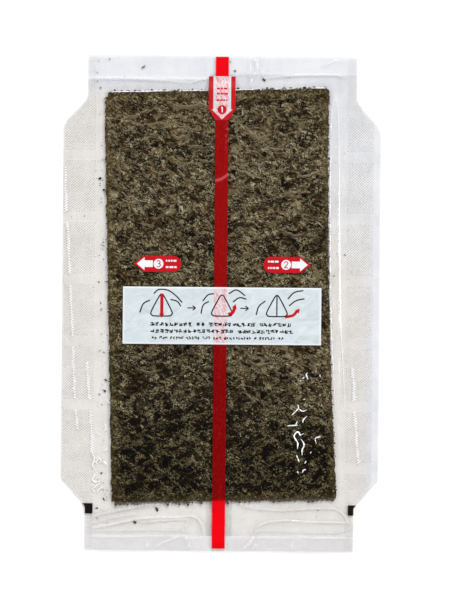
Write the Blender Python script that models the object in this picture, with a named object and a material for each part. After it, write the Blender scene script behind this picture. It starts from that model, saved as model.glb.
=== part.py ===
"""A flat film sleeve holding a half-cut sheet of nori, for wrapping a rice ball.

The sleeve lies with its outer, printed film up. +Y runs along the tear tape towards pull tag 1,
+X is to the right and +Z is up. The origin is at the middle of the underside.

From the table up: the two halves of the inner film, which lap at the centre, the nori, the outer
film, which is draped over both, and what is on the outer film: the tape, then the print.
"""

import math

import bmesh
import bpy
from mathutils import noise

MM = 0.001

# The outline of the sleeve: a wide body with a narrower tab at each end.
SLEEVE_LENGTH = 230 * MM
BODY_WIDTH = 147.5 * MM
TAB_WIDTH = 125 * MM
LEFT_SHOULDER = (97 * MM, 80.5 * MM)  # where the S-curve under the top tab starts and ends
RIGHT_SHOULDER = (96.5 * MM, 78 * MM)
CHAMFER = (-82.2 * MM, -94.8 * MM)  # where the straight cut to the bottom tab starts and ends
TOP_CORNER_RADIUS = 1.8 * MM
BOTTOM_CORNER_RADIUS = 1 * MM

# The side seals: knurled blocks with a smooth strip between one block and the next.
SEAL_INNER_X = 58.4 * MM
STRIP_HEIGHT = 4.4 * MM
STRIP_PITCH = 28.9 * MM
LOWEST_STRIP_Y = -76.2 * MM
STRIP_COUNT = 6
BLOCK_RISE = 0.12 * MM
BLOCK_EDGE = 0.4 * MM  # the slope from a strip up to a block

# Thicknesses, and the gap between one piece and the next.
FILM = 0.3 * MM
SKIN = 0.25 * MM  # tape and print
GAP = 0.3 * MM

# The inner film: two halves, shorter than the outer film, that lap at the centre.
INNER_BOTTOM = -108.2 * MM
INNER_LEFT_TOP = 104 * MM
INNER_RIGHT_TOP = 106.5 * MM
LAP = 6 * MM  # how far each half goes past the centre
LAP_SLOPE = 0.8 * MM

# The nori: a half-cut sheet, a little turned in the sleeve.
NORI_WIDTH = 104.2 * MM
NORI_LENGTH = 190 * MM
NORI_CENTRE = (-0.2 * MM, 3.4 * MM)
NORI_TURN = math.radians(1.5)
NORI = 0.45 * MM
NORI_RELIEF = 0.16 * MM
NORI_FRAY = 0.7 * MM  # how ragged the two ends are
NORI_RIGHT_BOW = 1.7 * MM  # how far the right edge is bowed in at its middle
NORI_CORNER = 2.2 * MM  # the chip off the top left corner
NORI_COLUMNS = 26
NORI_ROWS = 44

# How the outer film is draped: it lies over the nori and comes down just outside its edges.
DRAPE_START = 2.2 * MM
DRAPE_END = 6.2 * MM
RIPPLE = 0.14 * MM
TAB_WAVE = 0.9 * MM
TAB_WAVE_LENGTH = 41 * MM

# The tear tape and the print on the film.
TAPE_WIDTH = 6 * MM
TAPE_X = -0.25 * MM
TAPE_TOP = 114.5 * MM
TAPE_BOTTOM = -114 * MM

TAG_1_WIDTH = 12.4 * MM
TAG_1_TOP = 105.4 * MM
TAG_1_SHOULDER = 89.8 * MM
TAG_1_TIP = 84.9 * MM

SIDE_TAG_Y = 18.05 * MM
SIDE_TAG_LENGTH = 21.8 * MM
SIDE_TAG_HEIGHT = 7.5 * MM
SIDE_TAG_POINT = 4.3 * MM
TAG_3_TIP_X = -40.3 * MM
TAG_2_TIP_X = 41.3 * MM

PANEL_LEFT = -45.5 * MM
PANEL_RIGHT = 46.6 * MM
PANEL_BOTTOM = -19.2 * MM
PANEL_TOP = 7.4 * MM

EYE_MARK_TOP = -93.4 * MM
EYE_MARK_BOTTOM = -98.2 * MM
LEFT_EYE_MARK_X = -58.8 * MM
RIGHT_EYE_MARK_X = 59.8 * MM
EYE_MARK_INSET = 0.15 * MM

# Worked out from the sizes above.
WELD_LEVEL = FILM + GAP  # the outer film's underside where it is sealed to the inner film
LAP_LEVEL = WELD_LEVEL + FILM + GAP  # above the lap of the inner film
NORI_LEVEL = LAP_LEVEL
NORI_TOP = NORI_LEVEL + NORI + NORI_RELIEF
OVER_NORI = NORI_TOP + GAP
CURVE_STEPS = 8


def smooth(value, start, end):
    """0 before start, 1 after end, with an eased rise between; start may be the larger."""
    t = min(max((value - start) / (end - start), 0), 1)
    return t * t * (3 - 2 * t)


def side_of_sleeve(y, side):
    """X of the sleeve's edge at y, for side -1 (left) or 1 (right)."""
    step = (BODY_WIDTH - TAB_WIDTH) / 2
    if y > 0:
        half = TAB_WIDTH / 2 + step * smooth(y, *(LEFT_SHOULDER if side < 0 else RIGHT_SHOULDER))
        radius = TOP_CORNER_RADIUS
    else:
        start, end = CHAMFER
        half = BODY_WIDTH / 2 - step * min(max((y - start) / (end - start), 0), 1)
        radius = BOTTOM_CORNER_RADIUS
    into_corner = min(max(abs(y) - (SLEEVE_LENGTH / 2 - radius), 0), radius)
    return side * (half - radius + math.sqrt(radius**2 - into_corner**2))


def strips():
    return [LOWEST_STRIP_Y + n * STRIP_PITCH for n in range(STRIP_COUNT)]


def on_nori(x, y):
    """The point in the nori's own frame, centred on the sheet and along its sides."""
    dx, dy = x - NORI_CENTRE[0], y - NORI_CENTRE[1]
    c, s = math.cos(NORI_TURN), math.sin(NORI_TURN)
    return dx * c + dy * s, dy * c - dx * s


def film_underside(x, y):
    """Height of the outer film's underside above the table."""
    u, v = on_nori(x, y)
    outside = max(abs(u) - NORI_WIDTH / 2, abs(v) - NORI_LENGTH / 2)
    draped = smooth(outside, DRAPE_END, DRAPE_START)
    draped *= smooth(abs(x), SEAL_INNER_X, SEAL_INNER_X - 1.9 * MM)
    level = WELD_LEVEL + (OVER_NORI - WELD_LEVEL) * draped
    level += RIPPLE * draped * (0.5 + 0.5 * noise.noise((x / 0.017, y / 0.03, 1)))
    over_lap = WELD_LEVEL + (LAP_LEVEL - WELD_LEVEL) * smooth(abs(x), 11 * MM, 8 * MM)
    wave = TAB_WAVE * smooth(-y, 96 * MM, 110 * MM) + 0.4 * TAB_WAVE * smooth(y, 104 * MM, 112 * MM)
    wave *= smooth(abs(x), TAB_WIDTH / 2, TAB_WIDTH / 2 - 8 * MM)
    wave *= 0.5 + 0.5 * math.sin(math.tau * (x + 0.6 * y) / TAB_WAVE_LENGTH)
    return max(level, over_lap) + wave


def film_thickness(x, y):
    """Film, with the knurled blocks of the side seals a little proud of the smooth strips."""
    in_seal = abs(x) > SEAL_INNER_X
    in_block = min(abs(y - strip) for strip in strips()) > STRIP_HEIGHT / 2 + BLOCK_EDGE / 2
    return FILM + (BLOCK_RISE if in_seal and in_block else 0)


def film_columns(y):
    """X of each column of the outer film's mesh at y, from its left edge to its right one."""
    tape = [TAPE_X - TAPE_WIDTH / 2, TAPE_X + TAPE_WIDTH / 2]
    inside = [-56.5, -54.2, -51.8, -49, -44, -34, -24, -16, -11, -8]
    columns = [x * MM for x in inside] + tape + [-x * MM for x in reversed(inside)]
    columns = [-SEAL_INNER_X] + columns + [SEAL_INNER_X]
    edge = {side: side_of_sleeve(y, side) for side in (-1, 1)}
    seal = {side: side * SEAL_INNER_X + (edge[side] - side * SEAL_INNER_X) * 0.05 for side in edge}
    return [edge[-1], seal[-1]] + columns + [seal[1], edge[1]]


def film_rows(bottom, top):
    """Y of each row of a film's mesh: even steps, the corners, the shoulders and the strips."""
    rows = set()
    for strip in strips():
        for edge in (STRIP_HEIGHT / 2, STRIP_HEIGHT / 2 + BLOCK_EDGE):
            rows |= {strip - edge, strip + edge}
        rows.add(strip + STRIP_PITCH / 2)
    start, end = LEFT_SHOULDER[0] + 0.5 * MM, RIGHT_SHOULDER[1]
    rows |= {start + (end - start) * n / CURVE_STEPS for n in range(CURVE_STEPS + 1)}
    rows |= {CHAMFER[0], CHAMFER[1], -88.5 * MM, -99 * MM, -103 * MM, -106 * MM}
    rows |= {101 * MM, TAG_1_TOP}
    for end, radius in ((1, TOP_CORNER_RADIUS), (-1, BOTTOM_CORNER_RADIUS)):
        for angle in (0, 30, 60, 90):
            turned = math.sin(math.radians(angle))
            rows.add(end * (SLEEVE_LENGTH / 2 - radius * (1 - turned)))
    return [bottom] + sorted(y for y in rows if bottom + 0.2 * MM < y < top - 0.2 * MM) + [top]


def add_object(name, mesh_builder, material):
    mesh = bpy.data.meshes.new(name)
    bmesh.ops.recalc_face_normals(mesh_builder, faces=mesh_builder.faces)
    mesh_builder.to_mesh(mesh)
    mesh_builder.free()
    mesh.materials.append(material)
    obj = bpy.data.objects.new(name, mesh)
    bpy.context.scene.collection.objects.link(obj)
    return obj


def add_sheet(name, rows, underside, thickness, material, flat_base=None):
    """A closed thin sheet. rows is a grid of (x, y) points, each row with as many points.

    With flat_base its whole underside is one flat face at that height.
    """
    bm = bmesh.new()
    upper = [[bm.verts.new((x, y, underside(x, y) + thickness(x, y))) for x, y in row] for row in rows]
    quads = [(i, j) for i in range(len(rows) - 1) for j in range(len(rows[0]) - 1)]
    for i, j in quads:
        bm.faces.new((upper[i][j], upper[i][j + 1], upper[i + 1][j + 1], upper[i + 1][j]))
    last_row, last_column = len(rows) - 1, len(rows[0]) - 1
    rim = [(0, j) for j in range(last_column)]
    rim += [(i, last_column) for i in range(last_row)]
    rim += [(last_row, j) for j in range(last_column, 0, -1)]
    rim += [(i, 0) for i in range(last_row, 0, -1)]
    if flat_base is None:
        lower = {
            (i, j): bm.verts.new((x, y, underside(x, y)))
            for i, row in enumerate(rows)
            for j, (x, y) in enumerate(row)
        }
        for i, j in quads:
            corners = ((i, j), (i + 1, j), (i + 1, j + 1), (i, j + 1))
            bm.faces.new([lower[corner] for corner in corners])
    else:
        lower = {(i, j): bm.verts.new((*rows[i][j], flat_base)) for i, j in rim}
        bm.faces.new([lower[place] for place in reversed(rim)])
    for place, following in zip(rim, rim[1:] + rim[:1]):
        outer = [upper[i][j] for i, j in (place, following)]
        bm.faces.new((lower[place], lower[following], outer[1], outer[0]))
    return add_object(name, bm, material)


def add_plate(name, outline, base, thickness, material):
    """A flat plate: the outline, anticlockwise from above, extruded up from base."""
    bm = bmesh.new()
    face = bm.faces.new([bm.verts.new((x, y, base)) for x, y in outline])
    raised = bmesh.ops.extrude_face_region(bm, geom=[face])["geom"]
    moved = [item for item in raised if isinstance(item, bmesh.types.BMVert)]
    bmesh.ops.translate(bm, verts=moved, vec=(0, 0, thickness))
    return add_object(name, bm, material)


def make_material(name, colour, roughness, alpha=1.0):
    material = bpy.data.materials.new(name)
    material.use_nodes = True
    shader = material.node_tree.nodes["Principled BSDF"]
    shader.inputs["Base Color"].default_value = (*colour, 1)
    shader.inputs["Roughness"].default_value = roughness
    shader.inputs["Metallic"].default_value = 0
    shader.inputs["Alpha"].default_value = alpha
    return material


def add_inner_film(name, side, top, material):
    """One half of the inner film. The left half steps up over the right one where they lap."""
    inner_edge = LAP if side < 0 else -LAP

    def columns(y):
        edge = side_of_sleeve(y, side)
        if side > 0:
            return [inner_edge, SEAL_INNER_X, edge]
        step_foot = -LAP - GAP - 2 * LAP_SLOPE
        return [edge, -SEAL_INNER_X, step_foot, step_foot + LAP_SLOPE, inner_edge]

    def underside(x, y):
        over_the_lap = side < 0 and x > -LAP - GAP - 1.5 * LAP_SLOPE
        return FILM + GAP if over_the_lap else 0

    rows = [[(x, y) for x in columns(y)] for y in film_rows(INNER_BOTTOM, top)]
    return add_sheet(name, rows, underside, lambda x, y: FILM, material)


def add_outer_film(material):
    stations = film_rows(-SLEEVE_LENGTH / 2, SLEEVE_LENGTH / 2)
    rows = [[(x, y) for x in film_columns(y)] for y in stations]
    return add_sheet("outer_film", rows, film_underside, film_thickness, material)


def nori_point(across, along):
    """A point of the nori's outline or inside, for across and along from 0 to 1, on the sleeve."""
    u = (across - 0.5) * NORI_WIDTH
    v = (along - 0.5) * NORI_LENGTH
    u -= NORI_RIGHT_BOW * across**8 * math.sin(math.pi * along)
    to_end = abs(2 * along - 1) ** 12
    v += to_end * NORI_FRAY * noise.noise((u / 0.006, round(along) * 9, 4))
    to_side = abs(2 * across - 1) ** 12
    u += to_side * 0.35 * NORI_FRAY * noise.noise((round(across) * 9, v / 0.009, 7))
    chip = NORI_CORNER * max(0, 1 - across * 30) * max(0, 1 - (1 - along) * 30)
    u, v = u + 0.4 * chip, v - chip
    c, s = math.cos(NORI_TURN), math.sin(NORI_TURN)
    return NORI_CENTRE[0] + u * c - v * s, NORI_CENTRE[1] + u * s + v * c


def add_nori(material):
    def thickness(x, y):
        coarse = noise.noise((x / 0.011, y / 0.016, 2))
        fine = noise.noise((x / 0.004, y / 0.005, 5))
        return NORI + NORI_RELIEF * max(-1, min(1, 0.8 * coarse + 0.6 * fine))

    rows = [
        [nori_point(j / NORI_COLUMNS, i / NORI_ROWS) for j in range(NORI_COLUMNS + 1)]
        for i in range(NORI_ROWS + 1)
    ]
    sheet = add_sheet(
        "nori_sheet", rows, lambda x, y: NORI_LEVEL, thickness, material, flat_base=NORI_LEVEL
    )
    sheet.data.shade_smooth()
    sheet.data.set_sharp_from_angle(angle=math.radians(40))
    return sheet


def on_film(x, y):
    """Where a skin that lies straight on the outer film has its underside."""
    return film_underside(x, y) + FILM + GAP


def over_tape(x, y):
    """Where print that lies over the tape has its underside."""
    level = max(on_film(TAPE_X + side * TAPE_WIDTH / 2, y) for side in (-1, 1))
    return level + SKIN + GAP


def add_tape(material):
    left, right = TAPE_X - TAPE_WIDTH / 2, TAPE_X + TAPE_WIDTH / 2
    rows = [[(left, y), (right, y)] for y in film_rows(TAPE_BOTTOM, TAPE_TOP)]
    return add_sheet("tear_tape", rows, on_film, lambda x, y: SKIN, material)


def add_tag_1(material):
    """The tag on the tape: straight sides, then in to the tape's own width."""
    stations = [y for y in film_rows(TAG_1_TIP, TAG_1_TOP)]
    stations = sorted(set(stations) | {TAG_1_SHOULDER})

    def half_width(y):
        t = min(max((y - TAG_1_TIP) / (TAG_1_SHOULDER - TAG_1_TIP), 0), 1)
        return (TAPE_WIDTH + (TAG_1_WIDTH - TAPE_WIDTH) * t) / 2

    rows = [[(TAPE_X - half_width(y), y), (TAPE_X + half_width(y), y)] for y in stations]
    return add_sheet("pull_tag_1", rows, over_tape, lambda x, y: SKIN, material)


def highest(level, left, right, bottom, top):
    """The highest value of level(x, y) over a rectangle."""
    steps = range(11)
    return max(
        level(left + (right - left) * i / 10, bottom + (top - bottom) * j / 10)
        for i in steps
        for j in steps
    )


def add_side_tag(name, tip_x, material):
    """An arrow that points out from the tape, with a round end towards it."""
    side = math.copysign(1, tip_x)
    half = SIDE_TAG_HEIGHT / 2
    round_centre = tip_x - side * (SIDE_TAG_LENGTH - half)
    angles = [math.radians(90 + 180 * n / CURVE_STEPS) for n in range(CURVE_STEPS + 1)]
    outline = [(round_centre + side * half * math.cos(a), SIDE_TAG_Y + half * math.sin(a)) for a in angles]
    shoulder = tip_x - side * SIDE_TAG_POINT
    outline += [(shoulder, SIDE_TAG_Y - half), (tip_x, SIDE_TAG_Y), (shoulder, SIDE_TAG_Y + half)]
    left, right = sorted((tip_x, tip_x - side * SIDE_TAG_LENGTH))
    base = highest(on_film, left, right, SIDE_TAG_Y - half, SIDE_TAG_Y + half)
    return add_plate(name, outline if side > 0 else outline[::-1], base, SKIN, material)


def add_panel(material):
    """The printed panel across the middle, with the tape passing under it."""
    base = highest(over_tape, PANEL_LEFT, PANEL_RIGHT, PANEL_BOTTOM, PANEL_TOP)
    base = max(base, highest(on_film, PANEL_LEFT, PANEL_RIGHT, PANEL_BOTTOM, PANEL_TOP))
    corners = [
        (PANEL_LEFT, PANEL_BOTTOM),
        (PANEL_RIGHT, PANEL_BOTTOM),
        (PANEL_RIGHT, PANEL_TOP),
        (PANEL_LEFT, PANEL_TOP),
    ]
    return add_plate("instruction_panel", corners, base, SKIN, material)


def add_eye_mark(name, inner_x, material):
    """The register mark at the foot of the chamfer, cut off along it."""
    side = math.copysign(1, inner_x)
    edge = [side * (abs(side_of_sleeve(y, side)) - EYE_MARK_INSET) for y in (EYE_MARK_BOTTOM, CHAMFER[1])]
    top_edge = side * (abs(side_of_sleeve(EYE_MARK_TOP, side)) - EYE_MARK_INSET)
    outline = [
        (inner_x, EYE_MARK_BOTTOM),
        (edge[0], EYE_MARK_BOTTOM),
        (edge[1], CHAMFER[1]),
        (top_edge, EYE_MARK_TOP),
        (inner_x, EYE_MARK_TOP),
    ]
    base = highest(
        on_film, min(inner_x, edge[0]), max(inner_x, edge[0]), EYE_MARK_BOTTOM, EYE_MARK_TOP
    )
    base += BLOCK_RISE
    return add_plate(name, outline if side > 0 else outline[::-1], base, SKIN, material)


def clear_scene():
    for obj in list(bpy.data.objects):
        bpy.data.objects.remove(obj, do_unlink=True)


def main():
    clear_scene()
    film = make_material("clear_film", (0.83, 0.84, 0.86), 0.25, alpha=0.35)
    nori = make_material("nori", (0.062, 0.050, 0.030), 0.75)
    tape = make_material("red_tape", (0.60, 0.003, 0.008), 0.3, alpha=0.9)
    red_print = make_material("red_print", (0.62, 0.015, 0.030), 0.35)
    panel_print = make_material("panel_print", (0.72, 0.79, 0.84), 0.35)
    black_print = make_material("black_print", (0.012, 0.012, 0.014), 0.4)

    add_inner_film("inner_film_left", -1, INNER_LEFT_TOP, film)
    add_inner_film("inner_film_right", 1, INNER_RIGHT_TOP, film)
    add_nori(nori)
    add_outer_film(film)
    add_tape(tape)
    add_tag_1(red_print)
    add_side_tag("pull_tag_2", TAG_2_TIP_X, red_print)
    add_side_tag("pull_tag_3", TAG_3_TIP_X, red_print)
    add_panel(panel_print)
    add_eye_mark("eye_mark_left", LEFT_EYE_MARK_X, black_print)
    add_eye_mark("eye_mark_right", RIGHT_EYE_MARK_X, black_print)


main()
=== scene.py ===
"""The looks of a flat film sleeve that holds a half-cut sheet of nori for wrapping a rice ball.

Every solid of the frame is replaced by a thinner, finer piece in the same place. Sizes are in
millimetres. +Y runs along the tear tape towards pull tag 1, +X is to the right and +Z is up, out of
the printed film. Meshes are scaled to metres when they are made.
"""

import math
from collections import namedtuple

import bmesh
import bpy
import numpy as np
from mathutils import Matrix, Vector


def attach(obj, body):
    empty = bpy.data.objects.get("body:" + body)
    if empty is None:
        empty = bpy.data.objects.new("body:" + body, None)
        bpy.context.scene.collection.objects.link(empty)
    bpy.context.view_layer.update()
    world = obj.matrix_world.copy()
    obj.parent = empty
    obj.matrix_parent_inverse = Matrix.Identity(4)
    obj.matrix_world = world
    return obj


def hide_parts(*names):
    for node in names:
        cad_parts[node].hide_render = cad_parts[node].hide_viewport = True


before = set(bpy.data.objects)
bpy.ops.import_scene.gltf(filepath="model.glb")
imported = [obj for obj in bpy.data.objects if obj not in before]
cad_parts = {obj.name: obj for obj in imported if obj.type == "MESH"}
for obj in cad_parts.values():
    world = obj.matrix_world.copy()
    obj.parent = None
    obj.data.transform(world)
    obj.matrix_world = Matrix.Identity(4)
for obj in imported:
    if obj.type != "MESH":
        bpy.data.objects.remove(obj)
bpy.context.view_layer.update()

MM = 0.001

# The outline of the sleeve: a wide body with a narrower tab at each end.
SLEEVE_LENGTH = 230
BODY_WIDTH = 147.5
TAB_WIDTH = 125
LEFT_SHOULDER = (97, 80.5)  # where the S-curve under the top tab starts and ends
RIGHT_SHOULDER = (96.5, 78)
CHAMFER = (-82.2, -94.8)  # where the straight cut to the bottom tab starts and ends
TOP_CORNER_RADIUS = 1.8
BOTTOM_CORNER_RADIUS = 1

# The side seals: knurled blocks with a smooth strip between one block and the next.
SEAL_INNER_X = 58.4
STRIP_HEIGHT = 4.4
STRIP_PITCH = 28.9
LOWEST_STRIP_Y = -76.2
STRIP_COUNT = 6
KNURL_ACROSS = 1.3
KNURL_ALONG = 1.2
KNURL_SLANT = math.radians(38)
KNURL_RIGHT_END = 70.6  # the knurl stops short of the right edge
KNURL_BUMP = (0.92, 0.46, 0.07)  # length, width and height of one bump
KNURL_MARGIN = 0.5  # between the knurl and the edges of the film
DOTTED_WIDTH = 0.95  # how far from a dotted crease the bumps are painted white as highlight

# The two halves of the inner film, which lap at the centre.
INNER_LEVEL = 0.15
INNER_BOTTOM = -108.2
INNER_LEFT_TOP = 104
INNER_RIGHT_TOP = 106.5
LAP = 6
LAP_RISE = 0.12

# The nori.
NORI_WIDTH = 104.2
NORI_LENGTH = 190
NORI_CENTRE = (-0.2, 3.4)
NORI_TURN = math.radians(1.5)
NORI_COS = math.cos(NORI_TURN)
NORI_SIN = math.sin(NORI_TURN)
NORI_LEVEL = 1.05  # height of its upper side
NORI_THICKNESS = 0.26
NORI_FRAY = 1.0  # how far its ends are torn in and out
NORI_RIGHT_BOW = 1.7  # how far its right side is hollowed
NORI_CORNER = 2.2  # the chip off its upper left corner
NORI_COLUMNS = 150
NORI_ROWS = 274
NORI_LIGHT = [  # how light it is, at distances along it from its middle
    (-96, 0.22), (-74, 0.28), (-58, 0.45), (-40, 0.64), (-15, 0.84), (20, 0.92), (60, 1.0), (96, 1.02),
]

# What is loose on the nori and beside it.
FRINGE_COUNT = 2600
FRINGE_AT_SIDES = 0.6  # the share of the fringe that is along the two long sides
LEFT_CRUMBS = 95
RIGHT_CRUMBS = 42
END_CRUMBS = 30

# The outer film.
MARGIN_LEVEL = 0.55  # its height beside the nori
OVER_NORI = 1.56  # and over it
DRAPE_START = 0.3  # how far past the nori it starts to sink, and how far past it lies low
DRAPE_END = 6.0
TAB_WAVE = 0.75  # height of the soft waves of the tabs
TAB_WAVE_LENGTH = 41
SHINE_LEAST = 0.03  # the share of the film's clear shine, from above and at a grazing angle
SHINE_MOST = 0.9

# The tear tape and the print.
TAPE_WIDTH = 6
TAPE_X = -0.25
TAPE_TOP = 114.5
TAPE_BOTTOM = -114
TAPE_GAP = 0.01  # between the outer film and the tape
TAPE_THICKNESS = 0.035
TAPE_GLINT = [(-3.0, 56.9), (-0.5, 57.6), (2.0, 59.2), (3.0, 60.0)]
TAG_1_WIDTH = 12.4
TAG_1_TOP = 105.4
TAG_1_SHOULDER = 89.8
TAG_1_TIP = 84.9
SIDE_TAG_Y = 18.05
SIDE_TAG_LENGTH = 21.8
SIDE_TAG_HEIGHT = 7.5
SIDE_TAG_POINT = 4.3
SIDE_TAG_DISC = 11.2  # from the tip to the middle of the numbered disc
SIDE_TAG_PRINT = (14.6, 19.6)  # from the tip to the two ends of the tag's small print
TAG_3_TIP_X = -40.3
TAG_2_TIP_X = 41.3
PANEL_LEFT = -45.5
PANEL_RIGHT = 46.6
PANEL_BOTTOM = -19.2
PANEL_TOP = 7.4
PANEL_RIM = 0.7
EYE_MARK_TOP = -93.4
EYE_MARK_BOTTOM = -98.2
LEFT_EYE_MARK_X = -58.8
RIGHT_EYE_MARK_X = 59.8
INK = 0.03  # thickness of a layer of print
PRINT_GAP = 0.05  # between the outer film and the print
GROUND = 1  # the layers of ink, from the film up
MARKS = 2
OVER_MARKS = 3
DISC_DIGIT = 4
OUTLINE_STEP = 0.5  # between the points of an outline
STROKE_STEP = 0.35  # between the points of a drawn line
MARK_GAP = 0.4  # between the bars of the tags' small print
TICK_WIDTH = 0.36  # of the panel's small print
PICTURE_LINE = 0.58  # width of the panel's drawn lines
ARROW_HEAD = 2.0  # length of its red arrow heads

# Seeds of what is drawn at random. Each noise pattern has a seed of its own where it is used.
KNURL_SEED = 61
CRUMBS_SEED = 91
CRUMB_SHAPE_SEED = 95
SIDE_TAG_SEED = 110
TAG_1_SEED = 121
SMALL_PRINT_SEED = 141
FRINGE_SEED = 151
TORN_BIT_SEED = 152
STRANDS_SEED = 200
WRINKLES_SEED = 300
SCATTER_SEED = 7
SCATTER_SEED_STEP = 11

# A crease in the outer film: its width, how far it stands up, how white its painted highlight is and where it
# runs.
Crease = namedtuple("Crease", "width rise white path")

TAB_CREASES = [
    # Top tab, from the left.
    Crease(1.3, 0.10, 0.45, [(-59.1, 104.3), (-40.4, 103.9), (-25.3, 103.2), (-15.0, 102.4)]),
    Crease(1.0, 0.10, 0.50, [(-15.2, 102.5), (-6.7, 104.9)]),
    Crease(0.6, 0.12, 0.55, [(12.7, 114.5), (12.8, 100.9)]),
    Crease(0.7, 0.14, 0.60, [(14.1, 113.9), (15.8, 111.7), (15.5, 108.3), (13.6, 103.8), (12.5, 100.9)]),
    Crease(0.6, 0.08, 0.40, [(16.9, 114.5), (15.2, 111.1)]),
    Crease(0.7, 0.08, 0.45, [(18.6, 108.3), (19.0, 104.4)]),
    Crease(1.1, 0.12, 0.50, [(19.8, 105.0), (34.4, 106.2), (51.3, 106.6), (57.0, 105.3)]),
    Crease(0.7, 0.08, 0.35, [(46.2, 110.3), (50.7, 112.6), (55.8, 113.2)]),
    # Bottom tab, left half.
    Crease(1.5, 0.18, 0.40, [(-58.9, -99.5), (-53.2, -97.9), (-44.0, -95.9), (-34.8, -94.0), (-26.6, -93.5)]),
    Crease(0.9, 0.12, 0.30, [(-60.1, -103.2), (-53.2, -100.9), (-46.3, -99.4), (-37.6, -98.0)]),
    Crease(1.2, 0.20, 0.55, [(-58.7, -104.6), (-48.6, -102.7), (-39.4, -100.7), (-29.3, -99.7),
                             (-18.7, -99.4), (-12.7, -98.9), (-9.5, -100.5), (-7.6, -103.2), (-7.2, -106.4)]),
    Crease(0.8, 0.12, 0.45, [(-39.4, -100.7), (-34.8, -102.1), (-27.9, -101.3), (-18.7, -100.6),
                             (-14.1, -101.0), (-16.4, -105.1), (-16.8, -107.9)]),
    Crease(0.7, 0.10, 0.40, [(-29.2, -113.3), (-25.5, -111.2), (-20.9, -109.3), (-16.8, -107.9),
                             (-14.9, -109.7), (-14.0, -112.9)]),
    Crease(0.5, 0.06, 0.40, [(-33.1, -111.5), (-33.1, -113.3)]),
    # Bottom tab, right half.
    Crease(1.2, 0.16, 0.45, [(10.9, -93.9), (17.8, -95.2), (27.9, -96.0), (37.1, -95.5), (48.6, -94.9),
                             (54.6, -95.3), (59.2, -98.5)]),
    Crease(1.2, 0.16, 0.50, [(17.4, -103.9), (19.7, -102.5), (25.2, -101.1), (32.6, -100.6), (41.8, -101.2),
                             (51.0, -101.3), (60.2, -101.5)]),
    Crease(0.7, 0.12, 0.50, [(17.5, -104.8), (16.1, -108.5), (13.4, -112.2), (11.6, -113.8)]),
    Crease(0.6, 0.10, 0.40, [(18.4, -107.6), (17.5, -111.7), (16.1, -113.6)]),
    Crease(0.5, 0.06, 0.40, [(33.8, -111.4), (33.8, -113.7)]),
    Crease(0.8, 0.10, 0.55, [(57.4, -97.1), (60.2, -101.2)]),
    # Where the inner film ends under the bottom tab.
    Crease(0.6, 0.06, 0.50, [(-59.1, -105.9), (-18.2, -105.5)]),
    Crease(0.6, 0.06, 0.45, [(-59.1, -108.4), (-17.3, -108.0)]),
    Crease(0.6, 0.06, 0.50, [(17.0, -105.5), (32.6, -105.6), (46.4, -106.2), (55.6, -105.9), (62.0, -104.0)]),
    Crease(0.6, 0.06, 0.45, [(18.9, -108.3), (32.6, -107.9), (46.4, -108.5), (58.4, -108.4)]),
]

# Short sharp glints where the film clings to the lower right of the nori: raised wrinkles painted white as
# highlights.
GLINTS = [
    Crease(0.7, 0.22, 1.0, [(40.6, -31.8), (39.9, -32.9), (40.8, -35.2)]),
    Crease(0.6, 0.16, 0.8, [(38.1, -34.8), (39.0, -33.9)]),
    Crease(0.5, 0.12, 0.7, [(36.9, -35.9), (37.6, -35.4)]),
    Crease(0.5, 0.12, 0.6, [(46.2, -32.5), (46.4, -33.9)]),
    Crease(0.6, 0.14, 0.8, [(38.5, -44.5), (39.6, -44.0)]),
    Crease(0.8, 0.24, 1.0, [(36.0, -46.7), (36.3, -48.5), (33.3, -51.8)]),
    Crease(0.7, 0.20, 1.0, [(36.3, -48.5), (38.3, -49.8), (40.4, -49.1)]),
    Crease(0.8, 0.20, 1.0, [(40.4, -52.0), (38.8, -53.7), (38.4, -55.2)]),
    Crease(0.7, 0.16, 0.8, [(31.2, -56.7), (36.3, -56.3)]),
    Crease(0.6, 0.14, 0.8, [(36.0, -54.4), (35.1, -56.4)]),
    Crease(0.9, 0.24, 1.0, [(39.0, -60.1), (37.3, -60.9), (36.8, -59.8), (35.6, -59.6), (34.5, -61.3),
                            (35.1, -62.8), (36.2, -64.6), (36.1, -67.3)]),
    Crease(0.8, 0.20, 1.0, [(37.6, -62.7), (38.8, -64.3), (39.1, -66.1), (38.3, -67.7), (38.3, -70.3)]),
    Crease(0.8, 0.20, 1.0, [(35.7, -70.2), (36.9, -73.3)]),
    Crease(0.6, 0.14, 0.8, [(40.3, -72.8), (39.5, -74.1)]),
    Crease(0.6, 0.14, 0.8, [(36.1, -77.6), (36.6, -78.6)]),
    Crease(0.7, 0.16, 0.9, [(38.5, -78.4), (39.0, -77.2), (40.2, -76.8)]),
    Crease(0.7, 0.16, 0.9, [(47.0, -61.6), (44.9, -62.0), (44.3, -63.0), (44.9, -64.8)]),
    Crease(0.6, 0.12, 0.7, [(42.5, -68.4), (42.1, -69.4)]),
]
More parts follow.
